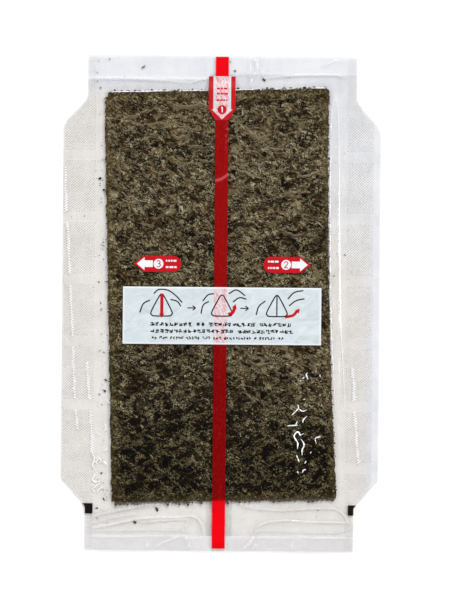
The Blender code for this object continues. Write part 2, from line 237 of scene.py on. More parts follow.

# Worm-like wrinkles in the lower part of the left margin, painted white as highlights.
WORMS = [
    Crease(0.7, 0.16, 0.9, [(-57.8, -72.0), (-56.6, -73.2), (-57.5, -74.2), (-56.8, -75.2)]),
    Crease(0.7, 0.16, 0.9, [(-56.8, -71.7), (-55.0, -73.7), (-56.0, -74.7)]),
    Crease(0.6, 0.14, 0.8, [(-54.3, -73.7), (-52.2, -75.2)]),
    Crease(0.7, 0.16, 0.9, [(-59.1, -69.9), (-58.2, -73.0), (-59.0, -76.0), (-57.5, -78.5)]),
    Crease(0.7, 0.16, 0.9, [(-57.5, -80.0), (-59.0, -82.0), (-58.0, -83.5), (-54.9, -83.0)]),
    Crease(0.7, 0.14, 0.8, [(-54.9, -83.3), (-57.4, -85.6), (-58.9, -87.1), (-57.4, -88.1)]),
    Crease(0.6, 0.14, 0.7, [(-53.9, -85.5), (-55.9, -87.1), (-56.9, -88.6)]),
    Crease(0.6, 0.12, 0.7, [(-57.2, -59.8), (-56.6, -61.4), (-55.1, -61.6)]),
    Crease(0.6, 0.12, 0.7, [(-53.4, -56.3), (-52.9, -58.5), (-53.9, -60.3)]),
    Crease(0.6, 0.12, 0.8, [(-54.3, -68.4), (-52.8, -68.6), (-52.1, -67.4)]),
    Crease(0.6, 0.12, 0.7, [(-52.9, -45.2), (-52.0, -45.7), (-51.1, -46.9)]),
    Crease(0.5, 0.10, 0.6, [(-56.7, -23.0), (-55.7, -22.8), (-56.0, -24.3), (-56.9, -23.8)]),
]

# The lifted channel beside the nori's right edge: X of its left and right crease at each Y.
CHANNEL_Y = [-49.0, -47.2, -37.2, -11.6, 16.6, 46.9, 67.5, 86.7, 93.4, 98.0]
CHANNEL_LEFT = [54.4, 53.6, 52.8, 51.4, 50.7, 50.3, 50.4, 50.5, 51.4, 52.1]
CHANNEL_RIGHT = [56.4, 57.8, 57.5, 55.9, 55.2, 54.6, 54.3, 53.9, 53.0, 52.2]
CHANNEL_RISE = 0.07

# Painted highlight lines where the film leaves the nori's upper edge: start, end and how white.
TOP_EDGE_HIGHLIGHTS = [(-51.1, -20, 0.75), (-18, -4, 0.5), (4, 20, 0.4), (26, 36, 0.35), (44, 51.1, 0.5)]

FOLD_WIDTH = 2.2  # the soft slopes of a tab's crease, in widths of the crease
# how white the painted highlight along a tab crease is, as a share of the crease's white
FOLD_HIGHLIGHT_WHITE = 0.5
WRINKLE_WIDTH = 0.78  # the sharp wrinkles, in widths of the crease

# Creases over the knurl, which show as a row of bumps painted white as highlight.
DOTTED_CREASES = [
    [(-73.0, 62.9), (-72.2, 41.8), (-71.4, 33.0), (-70.5, 15.6), (-69.6, 0.0), (-68.9, -13.1),
     (-68.4, -28.2), (-67.1, -49.3), (-66.2, -58.4)],
    [(-62.0, -28.1), (-61.1, -40.7), (-60.5, -48.3), (-59.7, -58.4), (-59.3, -69.9)],
    [(61.3, -29.6), (62.1, -38.1), (62.5, -50.2), (63.3, -59.8), (64.1, -69.9), (65.7, -78.4)],
]

# Strands, folds and slits on the nori: width, height, shade from dark to straw, and path.
Strand = namedtuple("Strand", "width height shade path")

STRANDS = [
    Strand(0.9, 0.10, 0.80, [(-52, 85.2), (-44, 84.2), (-36, 82.6), (-28, 83.6), (-17, 81.4), (-6, 80)]),
    Strand(0.8, 0.12, 0.80, [(5.2, 86), (6.4, 80.5), (7.6, 75), (8.2, 69), (9.5, 64)]),
    Strand(0.9, 0.12, 0.82, [(3.2, 63), (8, 61.8), (12, 60.4), (17, 58.2), (23, 58)]),
    Strand(0.32, 0.10, 1.0, [(42, 38.2), (43.4, 37.0), (45, 37.5), (46.4, 36.4), (49, 36)]),
    Strand(0.32, 0.10, 0.96, [(-46, 50), (-43.6, 49.0), (-41.5, 49.3), (-38, 47.4), (-34, 47)]),
    Strand(0.9, 0.05, 0.0, [(-43, 46), (-42.2, 43.4), (-40, 39.8), (-38, 36)]),
    Strand(0.3, 0.08, 0.82, [(-51, -25), (-45, -24.4), (-40, -25.4), (-33, -25.1)]),
    Strand(0.5, 0.08, 0.5, [(23, -43), (26.4, -52), (28.2, -62), (31, -73), (33, -84)]),
]

# Torn leaves that lie flat on the nori, most of them near its top.
TORN_LEAVES = [
    Strand(2.2, 0.04, 0.62, [(-24, 91.5), (-17, 90.6), (-9, 91.8), (-4, 88.6)]),
    Strand(2.0, 0.04, 0.66, [(-24, 77.6), (-20, 76.6), (-15, 78)]),
    Strand(1.8, 0.04, 0.60, [(-16, 71.5), (-12, 72.6), (-8, 71.6)]),
    Strand(1.6, 0.04, 0.62, [(-11, 66.5), (-7, 65.6), (-3.5, 66.6)]),
    Strand(2.4, 0.05, 0.68, [(10.5, 83), (13, 79), (17.5, 76.4), (23, 78.4)]),
    Strand(1.4, 0.04, 0.64, [(20, 73), (25, 71.4), (29, 72.4)]),
    Strand(1.7, 0.04, 0.66, [(-14, 57), (-9, 55.4), (-4.6, 57)]),
    Strand(1.9, 0.04, 0.60, [(-47, 89), (-42.6, 85.6), (-38, 87)]),
    Strand(1.2, 0.04, 0.66, [(33, 62), (38, 59), (44, 60.4), (50, 59.4)]),
    Strand(1.5, 0.04, 0.54, [(-47, 72), (-48.4, 65), (-47.4, 58)]),
    Strand(1.6, 0.04, 0.54, [(14, 67), (17, 64), (22, 66)]),
    Strand(1.4, 0.04, 0.50, [(-34, 62), (-29, 59.6), (-25, 60.4)]),
    Strand(1.5, 0.04, 0.48, [(-40, 24), (-33, 22.6), (-27, 24)]),
    Strand(1.5, 0.04, 0.50, [(28, 34), (34, 31.6), (40, 33)]),
    Strand(1.5, 0.04, 0.54, [(12, -26), (18, -29), (25, -27)]),
    Strand(1.6, 0.04, 0.54, [(-40, -30), (-33, -33), (-27, -31)]),
]
LEAF_LIT_AND_SHADED_RIM = 0.28  # width of the painted highlight rim and the painted shadow rim of a torn leaf

# Paler areas near the top of the nori: centre, half width and half height.
LEAVES = [(-14, 89.6, 11, 4.2), (-19, 76, 5.2, 3), (17.4, 80, 8, 4.4)]

# Loose crumbs of nori that stand out: X, Y and length.
LARGE_CRUMBS = [
    (-52.7, 113.0, 1.0), (-36.9, 109.5, 2.2), (-50.1, 98.5, 1.4), (5.6, 108.0, 1.4), (3.3, 112.2, 0.9),
    (19.1, 104.0, 2.1), (-56.7, 57.5, 1.9), (-54.8, 52.2, 1.4), (-63.8, 40.0, 0.9), (-69.8, 39.5, 0.7),
    (-54.6, 25.9, 0.8), (-56.8, 9.4, 1.0), (-56.0, -22.7, 1.4), (-53.1, -36.2, 1.6), (-53.5, -41.3, 1.4),
    (-54.8, -79.4, 1.2), (-53.6, -91.5, 1.6), (-56.8, -95.7, 1.4), (-56.7, -100.4, 1.2),
    (-28.9, -96.0, 2.3), (-39.1, -102.1, 1.9), (-33.0, -102.0, 0.9), (57.5, 22.9, 1.2), (52.5, 13.1, 0.9),
    (53.8, 23.3, 0.7), (19.9, -85.3, 1.2), (46.0, -95.8, 0.9), (60.8, 14.6, 0.6),
]

# Shreds scattered over the nori: the shape of each kind, its copies on a square metre, sizes and tilt.
Shred = namedtuple("Shred", "name path width height taper density smallest largest tilt")

SHREDS = [
    Shred("thread_curl", [(-1.6, -0.5), (-0.7, 0.5), (0.2, 0.3), (0.9, -0.4), (1.7, 0.1)],
          0.2, 0.08, 0.35, 16000.0, 0.4, 1.3, 0.05),
    Shred("thread_arc", [(-1.3, -0.4), (0, 0.35), (1.3, -0.3)], 0.22, 0.08, 0.35, 15000.0, 0.4, 1.4, 0.05),
    Shred("flat_shred", [(-1.5, 0.1), (-0.4, -0.35), (0.6, 0.3), (1.5, 0)],
          0.5, 0.06, 0.2, 9000.0, 0.4, 1.4, 0.04),
    Shred("short_bit", [(-0.45, 0), (0, 0.08), (0.45, 0)], 0.34, 0.10, 0.5, 52000.0, 0.5, 1.3, 0.08),
]

# The lines of the digits, which are drawn 2.6 high.
DIGIT_HEIGHT = 2.6
DIGITS = {
    1: [[(-0.45, 0.75), (0.1, 1.25)], [(0.1, 1.25), (0.1, -1.25)]],
    2: [[(-0.75, 0.65), (-0.55, 1.12), (0.05, 1.3), (0.65, 1.0), (0.62, 0.35), (0.0, -0.45), (-0.75, -1.22)],
        [(-0.8, -1.22), (0.85, -1.22)]],
    3: [[(-0.7, 0.95), (-0.1, 1.3), (0.6, 1.0), (0.55, 0.35), (-0.1, 0.08)],
        [(-0.1, 0.08), (0.65, -0.2), (0.7, -0.9), (0.0, -1.3), (-0.75, -0.95)]],
}

# A wrapped rice ball: a triangle with round corners.
BALL = [(0, 0.95), (-0.22, 0.72), (-0.88, -0.55), (-0.85, -0.85), (-0.6, -0.95), (0.6, -0.95),
        (0.85, -0.85), (0.88, -0.55), (0.22, 0.72), (0, 0.95)]

# Pictures of the panel: X, Y and size of a rice ball, lines round it, a red line and its width, and X, Y
# and way of a red arrow head.
Picture = namedtuple("Picture", "ball lines red_line red_width head")

PICTURES = [
    # The tape is pulled down the middle of the wrapper.
    Picture((-27.5, -1.0, 5.4), [
        [(-32.9, 1.2), (-36.0, -0.6), (-37.6, -4.6)],
        [(-31.2, 4.2), (-28.8, 6.1), (-24.6, 5.8), (-21.0, 3.4), (-18.0, 0.2)],
        [(-23.4, 1.6), (-20.2, 0.6), (-18.6, -1.6)],
    ], [(-27.4, 4.3), (-27.4, -5.4)], 1.5, (-27.4, -7.0, -90)),
    # The left half of the film comes off.
    Picture((0.5, -1.0, 5.2), [
        [(-8.4, 1.0), (-6.0, 3.8), (-3.2, 4.4)],
        [(-9.2, -5.0), (-8.2, -1.0), (-5.6, 0.8)],
        [(3.6, 4.4), (7.2, 6.2), (11.2, 3.6)],
        [(5.6, 0.6), (8.6, 2.6), (11.8, 2.0)],
    ], [(3.4, -5.2), (5.4, -4.4), (6.4, -2.2)], 1.5, (6.9, -0.4, 70)),
    # The right half follows.
    Picture((26.0, -1.0, 5.2), [
        [(26.0, 4.0), (26.0, -5.9)],
        [(16.4, -5.4), (17.6, -1.4), (20.6, 1.2)],
        [(31.0, 2.2), (34.0, 5.2), (38.2, 6.2)],
        [(31.6, -1.0), (34.8, 1.4), (38.8, 2.4)],
    ], [(29.8, -6.2), (33.4, -5.4), (35.2, -3.6)], 1.3, (36.6, -2.2, 50)),
]

# The thin arrows from one picture to the next: where they are, and the lines of one of them.
NEXT_ARROWS_X = (-13.6, 10.9)
NEXT_ARROW = [[(-1.9, -2.3), (1.4, -2.3)], [(0.5, -1.2), (1.9, -2.3)], [(0.5, -3.4), (1.9, -2.3)]]

# Rows of small print: ends, pitch and height of the signs, ticks in a sign and the share of gaps.
PrintRow = namedtuple("PrintRow", "y left right pitch height ticks gaps")

SMALL_PRINT = [
    PrintRow(-9.9, -31.5, 33.5, 2.15, 1.9, 7, 0.07),
    PrintRow(-13.1, -31.5, 33.0, 2.15, 1.9, 7, 0.07),
    PrintRow(-16.2, -31.5, 29.5, 1.3, 1.5, 4, 0.2),
]


# Numbers.


def smooth(value, start, end):
    """0 before start, 1 after end, with an eased rise between; start may be the larger."""
    t = np.clip((value - start) / (end - start), 0, 1)
    return t * t * (3 - 2 * t)


def noise(x, y, size, seed, octaves=1):
    """Smooth bumps from about -1 to 1. size is how far apart they are, across and along."""
    cells = 128
    across, along = size if isinstance(size, tuple) else (size, size)
    total = np.zeros(np.broadcast(x, y).shape)
    for octave in range(octaves):
        angles = np.random.default_rng([seed, octave]).uniform(0, math.tau, (cells, cells))
        u = x / across * 2**octave + 31.7
        v = y / along * 2**octave + 47.3
        column = np.floor(u).astype(int)
        row = np.floor(v).astype(int)
        u = u - column
        v = v - row

        def corner(i, j):
            angle = angles[(row + j) % cells, (column + i) % cells]
            return np.cos(angle) * (u - i) + np.sin(angle) * (v - j)

        ease_u = u * u * (3 - 2 * u)
        ease_v = v * v * (3 - 2 * v)
        low = corner(0, 0) * (1 - ease_u) + corner(1, 0) * ease_u
        high = corner(0, 1) * (1 - ease_u) + corner(1, 1) * ease_u
        total += 1.6 * (low * (1 - ease_v) + high * ease_v) / 2**octave
    return total


def curved(path, step):
    """Points about a step apart on a smooth curve through the points of a path."""
    points = np.array(path, float)
    if len(points) == 2:
        count = max(2, math.ceil(np.linalg.norm(points[1] - points[0]) / step))
        t = np.linspace(0, 1, count + 1)[:, None]
        return points[0] * (1 - t) + points[1] * t
    before = np.vstack([2 * points[0] - points[1], points[:-1]])
    after = np.vstack([points[1:], 2 * points[-1] - points[-2]])
    slopes = (after - before) / 2
    made = []
    for a, b, slope_a, slope_b in zip(points, points[1:], slopes, slopes[1:]):
        count = max(2, math.ceil(np.linalg.norm(b - a) / step))
        t = np.linspace(0, 1, count, endpoint=False)[:, None]
        ends = a * (2 * t**3 - 3 * t**2 + 1) + b * (3 * t**2 - 2 * t**3)
        made.append(ends + slope_a * (t**3 - 2 * t**2 + t) + slope_b * (t**3 - t**2))
    return np.vstack(made + [points[-1:]])


def near(x, y, path, width):
    """1 on a path, falling to 0 at its width away; x and y are arrays of one shape."""
    line = curved(path, 0.8)
    result = np.zeros(x.shape)
    low = line.min(0) - width
    high = line.max(0) + width
    inside = (x > low[0]) & (x < high[0]) & (y > low[1]) & (y < high[1])
    px = x[inside]
    py = y[inside]
    if not px.size:
        return result
    least = np.full(px.shape, 1e9)
    for a, b in zip(line, line[1:]):
        d = b - a
        t = np.clip(((px - a[0]) * d[0] + (py - a[1]) * d[1]) / (d @ d), 0, 1)
        least = np.minimum(least, (px - a[0] - t * d[0]) ** 2 + (py - a[1] - t * d[1]) ** 2)
    result[inside] = 1 - smooth(np.sqrt(least), 0, width)
    return result


def steps(*stops):
    """Values from the first stop to the last. A stop is a value and the step size that follows it."""
    values = []
    for (start, step), (end, _) in zip(stops, stops[1:]):
        count = max(1, round(abs(end - start) / step))
        values += [start + (end - start) * n / count for n in range(count)]
    return np.array(values + [stops[-1][0]])


# The shape of the sleeve.


def side_of_sleeve(y, side):
    """X of the sleeve's edge at y, for side -1 (left) or 1 (right)."""
    y = np.asarray(y, float)
    step = (BODY_WIDTH - TAB_WIDTH) / 2
    shoulder = LEFT_SHOULDER if side < 0 else RIGHT_SHOULDER
    upper = TAB_WIDTH / 2 + step * smooth(y, *shoulder)
    start, end = CHAMFER
    lower = BODY_WIDTH / 2 - step * np.clip((y - start) / (end - start), 0, 1)
    half = np.where(y > 0, upper, lower)
    radius = np.where(y > 0, TOP_CORNER_RADIUS, BOTTOM_CORNER_RADIUS)
    into_corner = np.clip(abs(y) - (SLEEVE_LENGTH / 2 - radius), 0, radius)
    return side * (half - radius + np.sqrt(radius**2 - into_corner**2))


def from_strip(y):
    """How far y is from the middle of the nearest smooth strip of a side seal."""
    strips = LOWEST_STRIP_Y + STRIP_PITCH * np.arange(STRIP_COUNT)
    return np.min(abs(np.asarray(y)[..., None] - strips), axis=-1)


def on_nori(x, y):
    """The point in the nori's own frame, centred on the sheet and along its sides."""
    dx = x - NORI_CENTRE[0]
    dy = y - NORI_CENTRE[1]
    return dx * NORI_COS + dy * NORI_SIN, dy * NORI_COS - dx * NORI_SIN


def from_nori(u, v):
    """The point of the sleeve under a point of the nori's own frame."""
    return NORI_CENTRE[0] + u * NORI_COS - v * NORI_SIN, NORI_CENTRE[1] + u * NORI_SIN + v * NORI_COS


def nori_lie(u, v):
    """Height of the underside of the nori, which isn't quite flat."""
    return NORI_LEVEL - NORI_THICKNESS + 0.07 * noise(u, v, (31, 43), 11) + 0.03 * noise(u, v, 9, 12)


def nori_pattern(u, v):
    """How the torn layers of seaweed lie: flat leaves, the folds between them and the hollows, which are
    painted dark as shade.
    """
    bent_u = u + 2.6 * noise(u, v, 9, 21, 2)
    bent_v = v + 2.6 * noise(u, v, 9, 22, 2)
    leaves = noise(bent_u + 0.5 * bent_v, bent_v, (6.5, 4.5), 23, 3)
    folds = np.clip(1 - 7 * abs(noise(bent_u - 0.6 * bent_v, bent_v, (8, 6), 24, 2)), 0, 1)
    folds *= smooth(noise(u, v, 11, 26), -0.1, 0.4)
    hollows = smooth(noise(bent_u + 0.4 * bent_v, bent_v, (5.2, 3.4), 25, 2), 0.32, 0.75)
    return leaves, folds, hollows


def channel_span(y):
    """X of the channel's left and right crease at y."""
    return np.interp(y, CHANNEL_Y, CHANNEL_LEFT), np.interp(y, CHANNEL_Y, CHANNEL_RIGHT)


def in_channel(x, y):
    """1 in the lifted channel beside the nori, 0 outside it."""
    left, right = channel_span(y)
    inside = smooth(x, left - 0.35, left + 0.35) * smooth(x, right + 0.35, right - 0.35)
    return inside * (y > CHANNEL_Y[0]) * (y < CHANNEL_Y[-1])


def film_level(x, y):
    """Height of the outer film, without its sharp creases. What is printed on it lies at this height."""
    u, v = on_nori(x, y)
    outside = np.maximum(abs(u) - NORI_WIDTH / 2, abs(v) - NORI_LENGTH / 2)
    draped = smooth(outside, DRAPE_END, DRAPE_START)
    draped = draped * smooth(abs(x), SEAL_INNER_X + 0.6, SEAL_INNER_X - 4.6)
    level = MARGIN_LEVEL + (OVER_NORI - MARGIN_LEVEL) * draped
    # The film is a little uneven over the nori and beside it.
    level += draped * (0.05 * noise(x, y, (17, 30), 31) + 0.02 * noise(x, y, (6, 9), 32, 2))
    level += 0.05 * noise(x, y, (9, 16), 33, 2) * (1 - draped) * smooth(abs(x), 60, 57)
    # Each tab rises towards its end in soft waves, but not at its sides.
    wave = TAB_WAVE * smooth(-y, 95, 108) + 0.5 * TAB_WAVE * smooth(y, 103, 111)
    wave = wave * smooth(abs(x), TAB_WIDTH / 2, TAB_WIDTH / 2 - 9)
    wave = wave * (0.55 + 0.45 * np.sin(math.tau * (x + 0.6 * y) / TAB_WAVE_LENGTH))
    wave = wave * (0.8 + 0.3 * noise(x, y, (14, 7), 34, 2))
    return level + wave


# Making meshes.


def sheet(x, y, z):
    """Points and faces of an open sheet over a grid of x and y."""
    rows, columns = x.shape
    i, j = np.meshgrid(np.arange(rows - 1), np.arange(columns - 1), indexing="ij")
    corner = (i * columns + j).ravel()
    faces = np.stack([corner, corner + 1, corner + columns + 1, corner + columns], axis=1)
    return np.stack([x, y, z], axis=-1).reshape(-1, 3), faces


def linked(name, data):
    """A new object of the scene."""
    obj = bpy.data.objects.new(name, data)
    bpy.context.scene.collection.objects.link(obj)
    return obj


def plain_mesh(name, points, faces=()):
    """A mesh in metres. A corner that comes twice in a face is dropped."""
    mesh = bpy.data.meshes.new(name)
    rows = faces.tolist() if isinstance(faces, np.ndarray) else faces
    mesh.from_pydata(np.asarray(points, float).tolist(), [], [list(dict.fromkeys(row)) for row in rows])
    return mesh


def store(mesh, attribute, values, kind="FLOAT"):
    """Keeps one number or one vector for each point of a mesh."""
    layer = mesh.attributes.new(attribute, kind, "POINT")
    field = "value" if kind == "FLOAT" else "vector"
    layer.data.foreach_set(field, np.asarray(values, np.float32).ravel())


def add_mesh(name, points, faces, material, flat=False, **attributes):
    """A mesh object from points in millimetres, with one number a point for each attribute."""
    mesh = plain_mesh(name, np.asarray(points) * MM, faces)
    for attribute, values in attributes.items():
        store(mesh, attribute, values)
    mesh.materials.append(material)
    if not flat:
        mesh.shade_smooth()
    return linked(name, mesh)


def shell(x, y, low, high):
    """Points and faces of a closed sheet over a grid of x and y, between two heights."""
    top, upper = sheet(x, y, high)
    bottom, lower = sheet(x, y, low)
    count = len(top)
    index = np.arange(count).reshape(x.shape)
    rim = np.concatenate([index[0, :-1], index[:-1, -1], index[-1, :0:-1], index[:0:-1, 0]])
    following = np.roll(rim, -1)
    walls = np.stack([rim + count, following + count, following, rim], axis=1)
    return np.vstack([top, bottom]), np.vstack([upper, lower[:, ::-1] + count, walls])


def both_sides(**values):
    """Values on a grid, repeated for the upper and the lower points of the shell over it."""
    return {name: np.tile(grid.ravel(), 2) for name, grid in values.items()}


def joined(parts):
    """One set of points and faces from several."""
    points = []
    faces = []
    start = 0
    for part_points, part_faces in parts:
        points.append(part_points)
        faces.append(part_faces + start)
        start += len(part_points)
    return np.vstack(points), np.vstack(faces)


def print_level(x, y, layer):
    """Height of the underside of a layer of ink, which lies on the outer film or on lower layers."""
    return film_level(x, y) + PRINT_GAP + layer * INK


def print_layer(x, y, layer):
    """A closed layer of ink over a grid of x and y."""
    base = print_level(x, y, layer)
    return shell(x, y, base, base + INK)


def between(stations, low, high, columns=6, upright=False):
    """A grid of x and y that fills the shape between two edges, given at each station.

    The stations run along Y and the edges are values of X, or with upright the other way round.
    """
    stations = np.asarray(stations, float)[:, None]
    share = np.linspace(0, 1, columns + 1)[None, :]
    across = np.asarray(low, float)[:, None] * (1 - share) + np.asarray(high, float)[:, None] * share
    along = np.broadcast_to(stations, across.shape)
    return (along.T, across.T) if upright else (across, along)


def sideways(line):
    """Unit vectors that point to the right of a line, one for each of its points."""
    way = np.gradient(line, axis=0)
    way /= np.linalg.norm(way, axis=1, keepdims=True)
    return np.stack([way[:, 1], -way[:, 0]], axis=1)


def stroke(path, width):
    """A grid of x and y that fills a drawn line of even width."""
    line = curved(path, STROKE_STEP)
    side = sideways(line) * width / 2
    grid = np.stack([line - side, line + side], axis=1)
    return grid[..., 0], grid[..., 1]


def three_sided(left, right, crest):
    """Points and faces of a closed, three-sided bar through three rows of points."""
    points = np.stack([left, right, crest], axis=1).reshape(-1, 3)
    start = 3 * np.arange(len(crest) - 1)
    edges = ((0, 1), (1, 2), (2, 0))
    walls = [np.stack([start + i, start + 3 + i, start + 3 + j, start + j], axis=1) for i, j in edges]
    last = 3 * (len(crest) - 1)
    ends = np.array([(0, 1, 2, 2), (last + 2, last + 1, last, last)])
    return points, np.vstack(walls + [ends])


def ridge(line, width, height, base, seed, taper=0.5):
    """A closed, three-sided ridge along a line of points, of uneven width and with pointed ends."""
    random = np.random.default_rng(seed)
    share = np.linspace(0, 1, len(line))
    half = (0.12 + 0.88 * np.sin(math.pi * share).clip(0, 1) ** taper) * width / 2
    uneven = 0.55 * noise(line[:, 0], line[:, 1], 1.6, seed) + random.uniform(-0.2, 0.2, len(line))
    side = sideways(line) * (half * (1 + uneven))[:, None]
    top = base + height * (0.3 + 0.7 * np.sin(math.pi * share))
    left = np.column_stack([line - side, base])
    right = np.column_stack([line + side, base])
    return three_sided(left, right, np.column_stack([line, top]))


def disc(centre, radius):
    """A grid of x and y that fills a circle."""
    turn = np.linspace(-math.pi / 2, math.pi / 2, 22)
    half = np.maximum(radius * np.cos(turn), 0.04)
    return between(centre[1] + radius * np.sin(turn), centre[0] - half, centre[0] + half)


# Geometry Nodes trees for what repeats.


def named(sockets, name):
    """The socket with this name or number, of those that are in use."""
    if isinstance(name, int):
        return sockets[name]
    return next(socket for socket in sockets if socket.name == name and socket.enabled)


def add_node(tree, kind, inputs=None, **settings):
    """A node with its settings. An input is given as a value or as the socket that feeds it."""
    made = tree.nodes.new(kind)
    for name, value in settings.items():
        setattr(made, name, value)
    for name, value in (inputs or {}).items():
        socket = named(made.inputs, name)
        if isinstance(value, bpy.types.NodeSocket):
            tree.links.new(value, socket)
        else:
            socket.default_value = value
    return made


def new_tree(name, sockets):
    """An empty Geometry Nodes tree with named inputs. Returns it with its input node."""
    tree = bpy.data.node_groups.new(name, "GeometryNodeTree")
    tree.interface.new_socket("Geometry", in_out="INPUT", socket_type="NodeSocketGeometry")
    for socket, kind in sockets.items():
        tree.interface.new_socket(socket, in_out="INPUT", socket_type="NodeSocket" + kind)
    tree.interface.new_socket("Geometry", in_out="OUTPUT", socket_type="NodeSocketGeometry")
    return tree, tree.nodes.new("NodeGroupInput")


def close_tree(tree, given, points, turn, size):
    """The end of both trees: a copy of the shape on every point, made real, with its material set."""
    shape = add_node(tree, "GeometryNodeObjectInfo", {"Object": given.outputs["Shape"]})
    inputs = {"Points": points, "Instance": shape.outputs["Geometry"], "Rotation": turn, "Scale": size}
    placed = add_node(tree, "GeometryNodeInstanceOnPoints", inputs)
    real = add_node(tree, "GeometryNodeRealizeInstances", {"Geometry": placed.outputs[0]})
    inputs = {"Geometry": real.outputs[0], "Material": given.outputs["Finish"]}
    painted = add_node(tree, "GeometryNodeSetMaterial", inputs)
    add_node(tree, "NodeGroupOutput", {"Geometry": painted.outputs[0]})
    return tree


def place_tree():
    """Puts a copy of a shape at every point, turned and sized by the point's attributes."""
    tree, given = new_tree("place_shapes", {"Shape": "Object", "Finish": "Material"})
    kind = "GeometryNodeInputNamedAttribute"
    turn = add_node(tree, kind, {"Name": "turn"}, data_type="FLOAT_VECTOR").outputs[0]
    size = add_node(tree, kind, {"Name": "size"}, data_type="FLOAT_VECTOR").outputs[0]
    return close_tree(tree, given, given.outputs["Geometry"], turn, size)


def scatter_tree():
    """Scatters a shape over the upper side of a sheet, with random turns, sizes and shades."""
    sockets = {"Shape": "Object", "Density": "Float", "Smallest": "Float", "Largest": "Float"}
    sockets |= {"Tilt": "Float", "Seed": "Int", "Finish": "Material"}
    tree, given = new_tree("scatter_shapes", sockets)
    normal = add_node(tree, "GeometryNodeInputNormal").outputs[0]
    up = add_node(tree, "ShaderNodeSeparateXYZ", {0: normal}).outputs["Z"]
    upper_side = add_node(tree, "ShaderNodeMath", {0: up, 1: 0.3}, operation="GREATER_THAN").outputs[0]
    inputs = {"Mesh": given.outputs["Geometry"], "Selection": upper_side}
    inputs |= {name: given.outputs[name] for name in ("Density", "Seed")}
    points = add_node(tree, "GeometryNodeDistributePointsOnFaces", inputs).outputs["Points"]

    def random(kind, least, most, offset):
        seed = add_node(tree, "ShaderNodeMath", {0: given.outputs["Seed"], 1: offset}, operation="ADD")
        limits = {"Min": least, "Max": most, "Seed": seed.outputs[0]}
        made = add_node(tree, "FunctionNodeRandomValue", limits, data_type=kind)
        return named(made.outputs, "Value")

    inputs = {"Geometry": points, "Name": "shade", "Value": random("FLOAT", 0.0, 1.0, 1)}
    shaded = add_node(tree, "GeometryNodeStoreNamedAttribute", inputs, data_type="FLOAT", domain="POINT")
    tilt = given.outputs["Tilt"]
    back = add_node(tree, "ShaderNodeMath", {0: tilt, 1: -1.0}, operation="MULTIPLY").outputs[0]
    low = add_node(tree, "ShaderNodeCombineXYZ", {0: back, 1: back, 2: -math.pi}).outputs[0]
    high = add_node(tree, "ShaderNodeCombineXYZ", {0: tilt, 1: tilt, 2: math.pi}).outputs[0]
    turn = random("FLOAT_VECTOR", low, high, 2)
    size = random("FLOAT", given.outputs["Smallest"], given.outputs["Largest"], 3)
    return close_tree(tree, given, shaded.outputs[0], turn, size)


def grown(base, tree, values):
    """The plain mesh that a tree makes from an object, with the tree's inputs set by their names."""
    modifier = base.modifiers.new("grow", "NODES")
    modifier.node_group = tree
    for item in tree.interface.items_tree:
        if item.name in values:
            modifier[item.identifier] = values[item.name]
    base.update_tag()
    bpy.context.view_layer.update()
    evaluated = base.evaluated_get(bpy.context.evaluated_depsgraph_get())
    mesh = bpy.data.meshes.new_from_object(evaluated)
    base.modifiers.remove(modifier)
    return mesh


def as_piece(name, meshes):
    """One object from several meshes that share a material."""
    bm = bmesh.new()
    for mesh in meshes:
        bm.from_mesh(mesh)
    for face in bm.faces:
        face.material_index = 0
    whole = bpy.data.meshes.new(name)
    bm.to_mesh(whole)
    bm.free()
    whole.materials.append(meshes[0].materials[-1])
    return linked(name, whole)


def place_shapes(name, shape, points, angles, sizes, finish, **attributes):
    """Copies of a shape, turned about Z, as one piece. Points and sizes are in millimetres."""
    mesh = plain_mesh(name + "_points", np.asarray(points) * MM)
    turns = np.zeros((len(points), 3))
    turns[:, 2] = angles
    store(mesh, "turn", turns, "FLOAT_VECTOR")
    store(mesh, "size", np.asarray(sizes) * MM, "FLOAT_VECTOR")
    for attribute, values in attributes.items():
        store(mesh, attribute, values)
    base = linked(name + "_points", mesh)
    made = grown(base, PLACE, {"Shape": shape, "Finish": finish})
    bpy.data.objects.remove(base)
    return as_piece(name, [made])


def add_shape(name, points, faces):
    """A small shape for a tree to copy. Its points are in units, not millimetres."""
    mesh = plain_mesh(name, points, faces)
    mesh.shade_smooth()
    SHAPES.append(linked(name, mesh))
    return SHAPES[-1]


# Materials.


def colour(red, green, blue):
    """A linear colour from the usual 0 to 255 values."""
    def linear(value):
        value /= 255
        return value / 12.92 if value <= 0.04045 else ((value + 0.055) / 1.055) ** 2.4

    return (linear(red), linear(green), linear(blue), 1.0)


